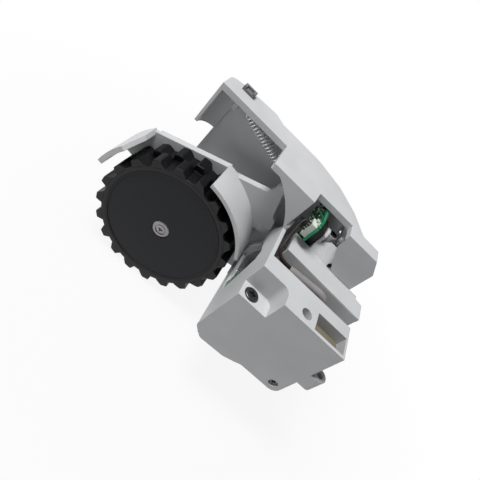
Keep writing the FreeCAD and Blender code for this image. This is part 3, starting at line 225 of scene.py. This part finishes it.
def makeMetal(name, colour, roughness, edge=0.12, metallic=1.0):
    # fine drawn or turned lines across it
    values = metalValues
    material, tree, shader = newMaterial(name)
    lines = addNoise(tree, addCoords(tree, values["stretch"]), values["lineScale"], values["lineDetail"])
    cloud = addNoise(tree, addCoords(tree), values["cloudScale"], values["cloudDetail"])
    tree.links.new(addTint(tree, cloud, colour, values["stops"]), shader.inputs["Base Color"])
    low = max(values["smoothest"], roughness - values["smoother"])
    rough = addRange(tree, lines, low, roughness + values["rougher"])
    tree.links.new(rough, shader.inputs["Roughness"])
    bump = addBump(tree, lines, values["lineStrength"], values["lineDepth"], addEdges(tree, edge))
    tree.links.new(bump, shader.inputs["Normal"])
    shader.inputs["Metallic"].default_value = metallic
    return material


rubberValues = {
    "cloudScale": 140,
    "cloudDetail": 5,
    "cloudRoughness": 0.6,
    "stops": ((0.35, 0.8), (0.62, 1.0), (0.78, 1.7)),
    "pitScale": 1800,
    "pitDetail": 3,
    "pitStrength": 0.6,
    "pitDepth": 0.04,
    "edge": 0.2,
    "shine": 0.35,
}


def makeRubber(name, colour, roughness):
    # finely pitted, with paler scuffs
    values = rubberValues
    material, tree, shader = newMaterial(name)
    vector = addCoords(tree)
    cloud = addNoise(tree, vector, values["cloudScale"], values["cloudDetail"], values["cloudRoughness"])
    tree.links.new(addTint(tree, cloud, colour, values["stops"]), shader.inputs["Base Color"])
    pits = addNoise(tree, vector, values["pitScale"], values["pitDetail"])
    bump = addBump(tree, pits, values["pitStrength"], values["pitDepth"], addEdges(tree, values["edge"]))
    tree.links.new(bump, shader.inputs["Normal"])
    shader.inputs["Roughness"].default_value = roughness
    shader.inputs["Specular IOR Level"].default_value = values["shine"]
    return material


maskValues = {
    "turn": 90,
    "traceScale": 260,
    "traceWidth": 0.03,
    "darkShare": 0.75,
    "traceShare": 2.2,
    "traceStrength": 0.3,
    "traceDepth": 0.03,
    "roughness": 0.28,
    "coat": 0.4,
    "coatRoughness": 0.15,
}


def makeBoard(name, colour):
    # solder mask with paler traces under it
    values = maskValues
    material, tree, shader = newMaterial(name)
    brick = tree.nodes.new("ShaderNodeTexBrick")
    brick.inputs["Scale"].default_value = values["traceScale"]
    brick.inputs["Mortar Size"].default_value = values["traceWidth"]
    brick.inputs["Color1"].default_value = (*shade(colour, values["darkShare"]), 1)
    brick.inputs["Color2"].default_value = (*colour, 1)
    brick.inputs["Mortar"].default_value = (*shade(colour, values["traceShare"]), 1)
    vector = addCoords(tree, turn=(0, math.radians(values["turn"]), 0))
    tree.links.new(vector, brick.inputs["Vector"])
    tree.links.new(brick.outputs["Color"], shader.inputs["Base Color"])
    bump = addBump(tree, brick.outputs["Fac"], values["traceStrength"], values["traceDepth"])
    tree.links.new(bump, shader.inputs["Normal"])
    shader.inputs["Roughness"].default_value = values["roughness"]
    shader.inputs["Coat Weight"].default_value = values["coat"]
    shader.inputs["Coat Roughness"].default_value = values["coatRoughness"]
    return material


# one finish for each slot of the record
finishes = {
    "grey_plastic": makePlastic("mouldedGrey", (0.53, 0.535, 0.545), 0.40, edge=0.42),
    "bush_plastic": makePlastic("naturalAcetal", (0.75, 0.75, 0.71), 0.35),
    "black_plastic": makePlastic("mouldedBlack", (0.014, 0.014, 0.015), 0.38),
    "socket_white": makePlastic("socketWhite", (0.62, 0.68, 0.60), 0.3, edge=0.1),
    "pad_grey": makePlastic("darkPad", (0.19, 0.19, 0.195), 0.55, mottle=0.15),
    "gear_plastic": makePlastic("gearAcetal", (0.78, 0.78, 0.74), 0.3),
    "rim_black": makePlastic("rimBlack", (0.0110, 0.0118, 0.0145), 0.5, mottle=0.1, edge=0.1, shine=0.25),
    "chip_black": makePlastic("chipResin", (0.02, 0.02, 0.02), 0.3, edge=0.05),
    "sleeve_grey": makePlastic("softSleeve", (0.25, 0.24, 0.24), 0.4, mottle=0.2, coat=0.4),
    "wire_skin": makePlastic("wireSkin", (0.024, 0.016, 0.014), 0.4, mottle=0.5, edge=0.0),
    "tyre_rubber": makeRubber("tyreRubber", (0.003, 0.0031, 0.0042), 0.38),
    "board_green": makeBoard("boardGreen", (0.006, 0.125, 0.058)),
    "screw_steel": makeMetal("zincScrew", (0.60, 0.60, 0.61), 0.3),
    "dark_screw": makeMetal("blackenedScrew", (0.09, 0.085, 0.085), 0.38),
    "contact_gold": makeMetal("goldContact", (0.80, 0.58, 0.28), 0.25),
    "spring_steel": makeMetal("springWire", (0.92, 0.92, 0.93), 0.34, metallic=0.85),
    "bush_metal": makeMetal("sinteredBronze", (0.50, 0.38, 0.22), 0.45),
    "shaft_steel": makeMetal("groundSteel", (0.58, 0.58, 0.60), 0.25),
    "motor_steel": makeMetal("motorCan", (0.50, 0.51, 0.53), 0.33),
    "magnet_dark": makeMetal("sinteredMagnet", (0.10, 0.10, 0.11), 0.5),
    "gear_brass": makeMetal("machinedBrass", (0.72, 0.53, 0.26), 0.25),
    "hub_steel": makeMetal("stampedSteel", (0.32, 0.31, 0.31), 0.42),
}

# pieces that differ in tone from the rest of their slot
ownFinishes = {
    "connector_body": makePlastic("oliveCarrier", (0.17, 0.155, 0.105), 0.4),
    "mount_screw": makeMetal("darkZincScrew", (0.12, 0.135, 0.135), 0.35),
    "box_screw": makeMetal("greyZincScrew", (0.24, 0.24, 0.24), 0.42, metallic=0.6),
}
slotOf = {entry["node"]: entry["material_slot"] for entry in frame["record"]["subparts"]}
for nodeName, node in frame["nodes"].items():
    for materialSlot in node.material_slots:
        materialSlot.material = ownFinishes.get(nodeName, finishes[slotOf[nodeName]])
print("finishes made")


def newTree(name, inputs):
    tree = bpy.data.node_groups.new(name, "GeometryNodeTree")
    tree.interface.new_socket("Geometry", in_out="INPUT", socket_type="NodeSocketGeometry")
    for label, value in inputs.items():
        kind = "NodeSocketInt" if isinstance(value, int) else "NodeSocketFloat"
        socket = tree.interface.new_socket(label, in_out="INPUT", socket_type=kind)
        socket.default_value = value
    tree.interface.new_socket("Geometry", in_out="OUTPUT", socket_type="NodeSocketGeometry")
    return tree, tree.nodes.new("NodeGroupInput"), tree.nodes.new("NodeGroupOutput")


def mathNode(tree, operation, first, second):
    node = tree.nodes.new("ShaderNodeMath")
    node.operation = operation
    for index, value in enumerate((first, second)):
        if isinstance(value, (int, float)):
            node.inputs[index].default_value = value
        else:
            tree.links.new(value, node.inputs[index])
    return node.outputs[0]


def alongY(tree, value):
    # a vector with only its Y
    node = tree.nodes.new("ShaderNodeCombineXYZ")
    tree.links.new(value, node.inputs["Y"])
    return node.outputs[0]


def closeTree(tree, output, geometry, material):
    realize = tree.nodes.new("GeometryNodeRealizeInstances")
    painted = tree.nodes.new("GeometryNodeSetMaterial")
    painted.inputs["Material"].default_value = material
    tree.links.new(geometry, realize.inputs["Geometry"])
    tree.links.new(realize.outputs["Geometry"], painted.inputs["Geometry"])
    tree.links.new(painted.outputs["Geometry"], output.inputs["Geometry"])


def treeToPiece(name, base, tree):
    # the tree's result on the base mesh is kept as a plain mesh
    carrier = addObject(name + "Carrier", base)
    carrier.modifiers.new("build", "NODES").node_group = tree
    graph = bpy.context.evaluated_depsgraph_get()
    graph.update()
    mesh = bpy.data.meshes.new_from_object(carrier.evaluated_get(graph))
    bpy.data.objects.remove(carrier)
    piece = addObject(name, mesh)
    return piece


def blockBetween(near, far):
    # a closed block between two outlines of the same number of points
    shape = bmesh.new()
    near = [shape.verts.new(point) for point in near]
    far = [shape.verts.new(point) for point in far]
    shape.faces.new(near)
    shape.faces.new(list(reversed(far)))
    for index in range(len(near)):
        following = (index + 1) % len(near)
        shape.faces.new((near[following], near[index], far[index], far[following]))
    bmesh.ops.recalc_face_normals(shape, faces=shape.faces)
    return shape


def finishMesh(shape, name):
    mesh = bpy.data.meshes.new(name)
    shape.to_mesh(mesh)
    shape.free()
    return mesh


def turnedMesh(profile, steps, name):
    # a closed (radius, y) profile turned about the Y axis
    shape = bmesh.new()
    rings = []
    for step in range(steps):
        angle = 2 * math.pi * step / steps
        rings.append([shape.verts.new((radius * math.cos(angle), y, radius * math.sin(angle)))
                      for radius, y in profile])
    count = len(profile)
    for step in range(steps):
        here, there = rings[step], rings[(step + 1) % steps]
        for index in range(count):
            following = (index + 1) % count
            shape.faces.new((here[index], here[following], there[following], there[index]))
    bmesh.ops.remove_doubles(shape, verts=shape.verts, dist=weldGap)
    bmesh.ops.recalc_face_normals(shape, faces=shape.faces)
    return finishMesh(shape, name)


# the tyre is a carcass ring and two staggered rows of saw-tooth lugs
tyreValues = {
    "armLength": 53.4,  # from the pivot to the hub
    "armDrop": 10.5,  # in degrees, at rest
    "lugsPerRow": 20,
    "rows": 2,
    "rowShift": 0.5,
    "tipRadius": 35.0,
    "baseRadius": 32.1,
    "innerRadius": 29.56,
    "treadStart": 0.1,
    "treadEnd": 19.4,
    "rowWidth": 9.0,
    "rowStep": 10.25,
    "lugBevel": 0.28,
    "lugRoot": 0.5,
    "lugShoulder": 0.5,
    "lugShares": (-0.37, -0.36, -0.17, -0.11, 0.04, 0.19, 0.29, 0.30),  # of the pitch
    "bevelFrom": 0.3,  # above the base
    "innerEdge": 0.1,
    "outerEdge": 0.5,
    "grooveDepth": 0.35,
    "grooveFloor": 0.5,
    "grooveTop": 0.8,
    "steps": 160,
}


def lugMesh(values):
    pitch = 2 * math.pi / values["lugsPerRow"]
    root = (values["baseRadius"] - values["lugRoot"]) * mm
    base = values["baseRadius"] * mm
    tip = values["tipRadius"] * mm
    shoulder = tip - values["lugShoulder"] * mm
    radii = (root, base, shoulder, tip, tip, tip, base, root)
    corners = [(radius * math.cos(share * pitch), radius * math.sin(share * pitch))
               for radius, share in zip(radii, values["lugShares"])]
    shape = blockBetween([(x, 0.0, z) for x, z in corners],
                         [(x, values["rowWidth"] * mm, z) for x, z in corners])
    sharp = [edge for edge in shape.edges
             if min(math.hypot(v.co.x, v.co.z) for v in edge.verts) > base + values["bevelFrom"] * mm]
    bmesh.ops.bevel(shape, geom=sharp, offset=values["lugBevel"] * mm, segments=1, affect="EDGES")
    return finishMesh(shape, "lug")


def carcassMesh(values):
    inner, outer = values["innerRadius"], values["baseRadius"]
    low, high = values["treadStart"], values["treadEnd"]
    middle = (low + high) / 2
    groove = outer - values["grooveDepth"]
    profile = [
        (inner, low + values["innerEdge"]),
        (inner + values["innerEdge"], low),
        (outer - values["outerEdge"], low),
        (outer, low + values["outerEdge"]),
        (outer, middle - values["grooveTop"]),
        (groove, middle - values["grooveFloor"]),
        (groove, middle + values["grooveFloor"]),
        (outer, middle + values["grooveTop"]),
        (outer, high - values["outerEdge"]),
        (outer - values["outerEdge"], high),
        (inner, high),
    ]
    return turnedMesh([(radius * mm, y * mm) for radius, y in profile], values["steps"], "carcass")


def makeTyre(values):
    lug = addObject("lugMaster", lugMesh(values))
    tree, start, end = newTree("tyreLugs", {
        "Lugs": values["lugsPerRow"],
        "Row Step": values["rowStep"] * mm,
        "Start": values["treadStart"] * mm,
    })
    info = tree.nodes.new("GeometryNodeObjectInfo")
    info.inputs["Object"].default_value = lug
    joined = tree.nodes.new("GeometryNodeJoinGeometry")
    step = mathNode(tree, "DIVIDE", 2 * math.pi, start.outputs["Lugs"])
    for row in range(values["rows"]):
        line = tree.nodes.new("GeometryNodeMeshLine")
        tree.links.new(start.outputs["Lugs"], line.inputs["Count"])
        line.inputs["Offset"].default_value = (0, 0, 0)
        shift = mathNode(tree, "MULTIPLY", start.outputs["Row Step"], float(row))
        side = mathNode(tree, "ADD", shift, start.outputs["Start"])
        tree.links.new(alongY(tree, side), line.inputs["Start Location"])
        index = tree.nodes.new("GeometryNodeInputIndex")
        staggered = mathNode(tree, "ADD", index.outputs[0], row * values["rowShift"])
        angle = mathNode(tree, "MULTIPLY", staggered, step)
        copies = tree.nodes.new("GeometryNodeInstanceOnPoints")
        tree.links.new(line.outputs["Mesh"], copies.inputs["Points"])
        tree.links.new(info.outputs["Geometry"], copies.inputs["Instance"])
        tree.links.new(alongY(tree, mathNode(tree, "MULTIPLY", angle, -1.0)), copies.inputs["Rotation"])
        tree.links.new(copies.outputs["Instances"], joined.inputs["Geometry"])
    tree.links.new(start.outputs["Geometry"], joined.inputs["Geometry"])
    drop = math.radians(values["armDrop"])
    move = tree.nodes.new("GeometryNodeTransform")
    move.inputs["Translation"].default_value = place(
        -values["armLength"] * math.cos(drop), 0, -values["armLength"] * math.sin(drop))
    tree.links.new(joined.outputs["Geometry"], move.inputs["Geometry"])
    closeTree(tree, end, move.outputs["Geometry"], finishes["tyre_rubber"])
    tyre = treeToPiece("tyreTread", carcassMesh(values), tree)
    bpy.data.objects.remove(lug)
    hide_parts("tyre")
    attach(tyre, "wheel")


makeTyre(tyreValues)
print("tyre made")

# the spring runs between the frame's pin and the arm's hook
springValues = {
    "pin": (-61.8, 33.9, 48.4),
    "hook": (-25.5, 33.9, 39.0),
    "coilRadius": 2.1,
    "wireRadius": 0.4,
    "turns": 17.0,
    "lead": 4.4,  # from each loop's centre to the first coil
    "loopRadius": 1.35,
    "coilSteps": 26,
    "loopSteps": 28,
    "wireSteps": 10,
    "bendStart": 0.38,  # shares of the way from pin to hook
    "bendEnd": 0.97,
}


def makeSpring(values):
    pin, hook = place(*values["pin"]), place(*values["hook"])
    run = (hook - pin).length
    lead = values["lead"] * mm
    coilRadius, loopRadius = values["coilRadius"] * mm, values["loopRadius"] * mm
    tree, start, end = newTree("pullSpring", {
        "Turns": values["turns"],
        "Coil Radius": coilRadius,
        "Wire Radius": values["wireRadius"] * mm,
        "Length": run - 2 * lead,
    })
    joined = tree.nodes.new("GeometryNodeJoinGeometry")
    spiral = tree.nodes.new("GeometryNodeCurveSpiral")
    spiral.inputs["Resolution"].default_value = values["coilSteps"]
    tree.links.new(start.outputs["Turns"], spiral.inputs["Rotations"])
    tree.links.new(start.outputs["Coil Radius"], spiral.inputs["Start Radius"])
    tree.links.new(start.outputs["Coil Radius"], spiral.inputs["End Radius"])
    tree.links.new(start.outputs["Length"], spiral.inputs["Height"])
    lift = tree.nodes.new("GeometryNodeTransform")
    lift.inputs["Translation"].default_value = (0, 0, lead)
    tree.links.new(spiral.outputs["Curve"], lift.inputs["Geometry"])
    tree.links.new(lift.outputs["Geometry"], joined.inputs["Geometry"])
    for middle, bend, coilEnd in ((0.0, loopRadius, lead), (run, run - loopRadius, run - lead)):
        ring = tree.nodes.new("GeometryNodeCurvePrimitiveCircle")
        ring.inputs["Resolution"].default_value = values["loopSteps"]
        ring.inputs["Radius"].default_value = loopRadius
        turn = tree.nodes.new("GeometryNodeTransform")
        turn.inputs["Translation"].default_value = (0, 0, middle)
        turn.inputs["Rotation"].default_value = (quarterTurn, 0, 0)
        tree.links.new(ring.outputs["Curve"], turn.inputs["Geometry"])
        tree.links.new(turn.outputs["Geometry"], joined.inputs["Geometry"])
        stem = tree.nodes.new("GeometryNodeCurvePrimitiveLine")
        stem.inputs["Start"].default_value = (0, 0, bend)
        stem.inputs["End"].default_value = (coilRadius, 0, coilEnd)
        tree.links.new(stem.outputs["Curve"], joined.inputs["Geometry"])
    profile = tree.nodes.new("GeometryNodeCurvePrimitiveCircle")
    profile.inputs["Resolution"].default_value = values["wireSteps"]
    tree.links.new(start.outputs["Wire Radius"], profile.inputs["Radius"])
    wire = tree.nodes.new("GeometryNodeCurveToMesh")
    wire.inputs["Fill Caps"].default_value = True
    tree.links.new(joined.outputs["Geometry"], wire.inputs["Curve"])
    tree.links.new(profile.outputs["Curve"], wire.inputs["Profile Curve"])
    move = tree.nodes.new("GeometryNodeTransform")
    move.inputs["Translation"].default_value = pin
    move.inputs["Rotation"].default_value = (0, math.atan2(hook.x - pin.x, hook.z - pin.z), 0)
    tree.links.new(wire.outputs["Mesh"], move.inputs["Geometry"])
    smooth = tree.nodes.new("GeometryNodeSetShadeSmooth")
    tree.links.new(move.outputs["Geometry"], smooth.inputs["Geometry"])
    closeTree(tree, end, smooth.outputs["Geometry"], finishes["spring_steel"])
    spring = treeToPiece("pullSpring", bpy.data.meshes.new("empty"), tree)
    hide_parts("tension_spring")
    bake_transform(spring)


makeSpring(springValues)
print("spring made")

# solder cones and small lacquered or pale parts that crowd the free face of the sensor board; the pale parts
# are partly a painted highlight, their pale colour standing in for glints on the components
boardValues = {
    "faceX": -5.2,
    "patches": ((13.4, 31.5, 38.0, 46.8), (8.6, 13.4, 45.6, 46.8)),  # y from, y to, z from, z to
    "solderRadius": 0.42,
    "solderTip": 0.3,  # share of the radius
    "solderHeight": 0.75,
    "solderSteps": 12,
    "partHeight": 1.0,
    "partWidth": 0.95,
    "partDepth": 0.7,  # share of the width
    "partBevel": 0.12,
    "bevelSteps": 2,
}

# how many stand on a square millimetre, and the limits of each one's scale along X, Y and Z
bitValues = {
    "solderCones": {"density": 0.42, "seed": 7, "least": (0.7, 0.7, 0.7), "most": (1.6, 1.1, 1.1)},
    "lacqueredParts": {"density": 0.30, "seed": 10, "least": (0.8, 0.7, 0.7), "most": (1.9, 1.4, 1.6)},
    "paleParts": {"density": 0.16, "seed": 15, "least": (1.2, 0.7, 0.6), "most": (1.9, 1.1, 1.1)},
}
squareMetre = 1e6  # in square millimetres


def scatterTree(name, master, values, material):
    # copies of one small part over the base faces, each with a scale by chance
    tree, start, end = newTree(name, {"Density": values["density"] * squareMetre, "Seed": values["seed"]})
    points = tree.nodes.new("GeometryNodeDistributePointsOnFaces")
    tree.links.new(start.outputs["Geometry"], points.inputs["Mesh"])
    tree.links.new(start.outputs["Density"], points.inputs["Density"])
    tree.links.new(start.outputs["Seed"], points.inputs["Seed"])
    info = tree.nodes.new("GeometryNodeObjectInfo")
    info.inputs["Object"].default_value = master
    chance = tree.nodes.new("FunctionNodeRandomValue")
    chance.data_type = "FLOAT_VECTOR"
    chance.inputs[0].default_value = values["least"]
    chance.inputs[1].default_value = values["most"]
    tree.links.new(start.outputs["Seed"], chance.inputs["Seed"])
    copies = tree.nodes.new("GeometryNodeInstanceOnPoints")
    tree.links.new(points.outputs["Points"], copies.inputs["Points"])
    tree.links.new(info.outputs["Geometry"], copies.inputs["Instance"])
    tree.links.new(chance.outputs[0], copies.inputs["Scale"])
    closeTree(tree, end, copies.outputs["Instances"], material)
    return tree


def patchMesh(values):
    shape = bmesh.new()
    for y0, y1, z0, z1 in values["patches"]:
        shape.faces.new([shape.verts.new(place(values["faceX"], y, z))
                         for y, z in ((y0, z0), (y0, z1), (y1, z1), (y1, z0))])
    return finishMesh(shape, "boardFace")


def coneShape(values):
    # its foot lies on the board and its tip points along -X
    shape = bmesh.new()
    radius, height = values["solderRadius"], values["solderHeight"]
    bmesh.ops.create_cone(shape, cap_ends=True, segments=values["solderSteps"], radius1=radius * mm,
                          radius2=radius * values["solderTip"] * mm, depth=height * mm)
    bmesh.ops.translate(shape, verts=shape.verts, vec=(0, 0, height / 2 * mm))
    bmesh.ops.rotate(shape, verts=shape.verts, matrix=Matrix.Rotation(-quarterTurn, 3, "Y"))
    return shape


def partShape(values):
    shape = bmesh.new()
    height, width = values["partHeight"], values["partWidth"]
    bmesh.ops.create_cube(shape, size=1.0)
    bmesh.ops.scale(shape, verts=shape.verts, vec=(height * mm, width * mm, width * values["partDepth"] * mm))
    bmesh.ops.translate(shape, verts=shape.verts, vec=(-height / 2 * mm, 0, 0))
    bmesh.ops.bevel(shape, geom=shape.edges[:], offset=values["partBevel"] * mm,
                    segments=values["bevelSteps"], affect="EDGES")
    return shape


solder = makeMetal("tinnedSolder", (0.80, 0.82, 0.80), 0.2, edge=0.0, metallic=0.8)
lacquer = makePlastic("lacqueredPart", (0.03, 0.20, 0.09), 0.18, mottle=0.8, edge=0.0, coat=0.6)
# the pale colour is partly a painted highlight, standing in for glints on the board's components
ceramicHighlight = makePlastic("paleCeramicHighlight", (0.70, 0.78, 0.68), 0.25, edge=0.0, coat=0.5)
bitKinds = (
    ("solderCones", coneShape, solder, "screw_steel"),
    ("lacqueredParts", partShape, lacquer, "board_green"),
    ("paleParts", partShape, ceramicHighlight, "socket_white"),
)


def makeBoardBits(values):
    for name, makeShape, material, slotName in bitKinds:
        master = addObject(name + "Master", finishMesh(makeShape(values), name + "Master"))
        tree = scatterTree(name, master, bitValues[name], material)
        piece = treeToPiece(name, patchMesh(values), tree)
        bpy.data.objects.remove(master)
        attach(piece, "frame")


makeBoardBits(boardValues)
print("board parts made")

# the small green board that shows in the slanted opening of the box's left wall
leadValues = {
    "left": -13.95,
    "right": -13.25,
    "outline": ((-9.2, -1.1), (-6.4, 8.6), (-5.2, 12.6), (-4.5, 12.6), (-4.5, -1.5)),
    "edge": 0.15,
    "edgeSteps": 2,
}


def makeLeadBoard(values):
    left = [place(values["left"], y, z) for y, z in values["outline"]]
    right = [place(values["right"], y, z) for y, z in values["outline"]]
    shape = blockBetween(left, right)
    bmesh.ops.bevel(shape, geom=shape.edges[:], offset=values["edge"] * mm,
                    segments=values["edgeSteps"], affect="EDGES")
    board = addObject("leadBoard", finishMesh(shape, "leadBoard"))
    board.data.materials.append(finishes["board_green"])
    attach(board, "frame")


makeLeadBoard(leadValues)
print("lead board made")

# the camera sees a white floor, with a faint shadow near the part
studioValues = {
    "floorPlace": (-20, 5, -44.75),
    "floorSize": 16.0,  # in metres, as the reach and the lamps' size are
    "floorColour": (0.6, 0.6, 0.6, 1),
    "floorShadow": 0.10,
    "shadowReach": 0.22,
    "shadowCore": 0.4,  # share of the reach
    "worldStrength": 0.215,
    "lampSize": 0.26,
    "lampAim": (-20, 10, 10),
    "lamps": {"topSoftbox": ((-320, -70, 680), 5.9), "leftSoftbox": ((-700, -500, 250), 0.2)},
}
white = (1, 1, 1, 1)


def mixShaders(tree, share, first, second, output):
    mix = tree.nodes.new("ShaderNodeMixShader")
    tree.links.new(share, mix.inputs["Fac"])
    tree.links.new(first, mix.inputs[1])
    tree.links.new(second, mix.inputs[2])
    tree.links.new(mix.outputs["Shader"], output.inputs["Surface"])


def makeFloor(values):
    shape = bmesh.new()
    half = values["floorSize"] / 2
    centre = place(*values["floorPlace"])
    corners = [shape.verts.new(centre + Vector((x * half, y * half, 0)))
               for x, y in ((-1, -1), (1, -1), (1, 1), (-1, 1))]
    shape.faces.new(corners)
    floor = addObject("floor", finishMesh(shape, "floor"))
    material = bpy.data.materials.new("paleFloor")
    tree = emptyTree(material)
    output = tree.nodes.new("ShaderNodeOutputMaterial")
    diffuse = tree.nodes.new("ShaderNodeBsdfDiffuse")
    diffuse.inputs["Color"].default_value = values["floorColour"]
    glow = tree.nodes.new("ShaderNodeEmission")
    glow.inputs["Strength"].default_value = 1.0
    path = tree.nodes.new("ShaderNodeLightPath")
    seen = mathNode(tree, "MAXIMUM", path.outputs["Is Camera Ray"], path.outputs["Is Glossy Ray"])
    coords = tree.nodes.new("ShaderNodeTexCoord")
    reach = tree.nodes.new("ShaderNodeVectorMath")
    reach.operation = "DISTANCE"
    reach.inputs[1].default_value = centre
    tree.links.new(coords.outputs["Object"], reach.inputs[0])
    fade = tree.nodes.new("ShaderNodeMapRange")
    fade.inputs["From Min"].default_value = values["shadowReach"] * values["shadowCore"]
    fade.inputs["From Max"].default_value = values["shadowReach"]
    fade.inputs["To Min"].default_value = 1 - values["floorShadow"]
    fade.inputs["To Max"].default_value = 1.0
    tree.links.new(reach.outputs["Value"], fade.inputs["Value"])
    share = mathNode(tree, "MULTIPLY", seen, fade.outputs["Result"])
    mixShaders(tree, share, diffuse.outputs["BSDF"], glow.outputs["Emission"], output)
    floor.data.materials.append(material)


def makeLights(values):
    world = bpy.data.worlds.new("studio")
    tree = emptyTree(world)
    output = tree.nodes.new("ShaderNodeOutputWorld")
    light = tree.nodes.new("ShaderNodeBackground")
    light.inputs["Color"].default_value = white
    light.inputs["Strength"].default_value = values["worldStrength"]
    seen = tree.nodes.new("ShaderNodeBackground")
    seen.inputs["Color"].default_value = white
    path = tree.nodes.new("ShaderNodeLightPath")
    mixShaders(tree, path.outputs["Is Camera Ray"], light.outputs["Background"],
               seen.outputs["Background"], output)
    bpy.context.scene.world = world
    for name, (spot, power) in values["lamps"].items():
        data = bpy.data.lights.new(name, "AREA")
        data.shape = "SQUARE"
        data.size = values["lampSize"]
        data.energy = power
        lamp = addObject(name, data)
        lamp.location = place(*spot)
        toAim = place(*values["lampAim"]) - lamp.location
        lamp.rotation_euler = toAim.to_track_quat("-Z", "Y").to_euler()


makeFloor(studioValues)
makeLights(studioValues)
bpy.context.scene.view_settings.view_transform = "Standard"
print("studio lit")
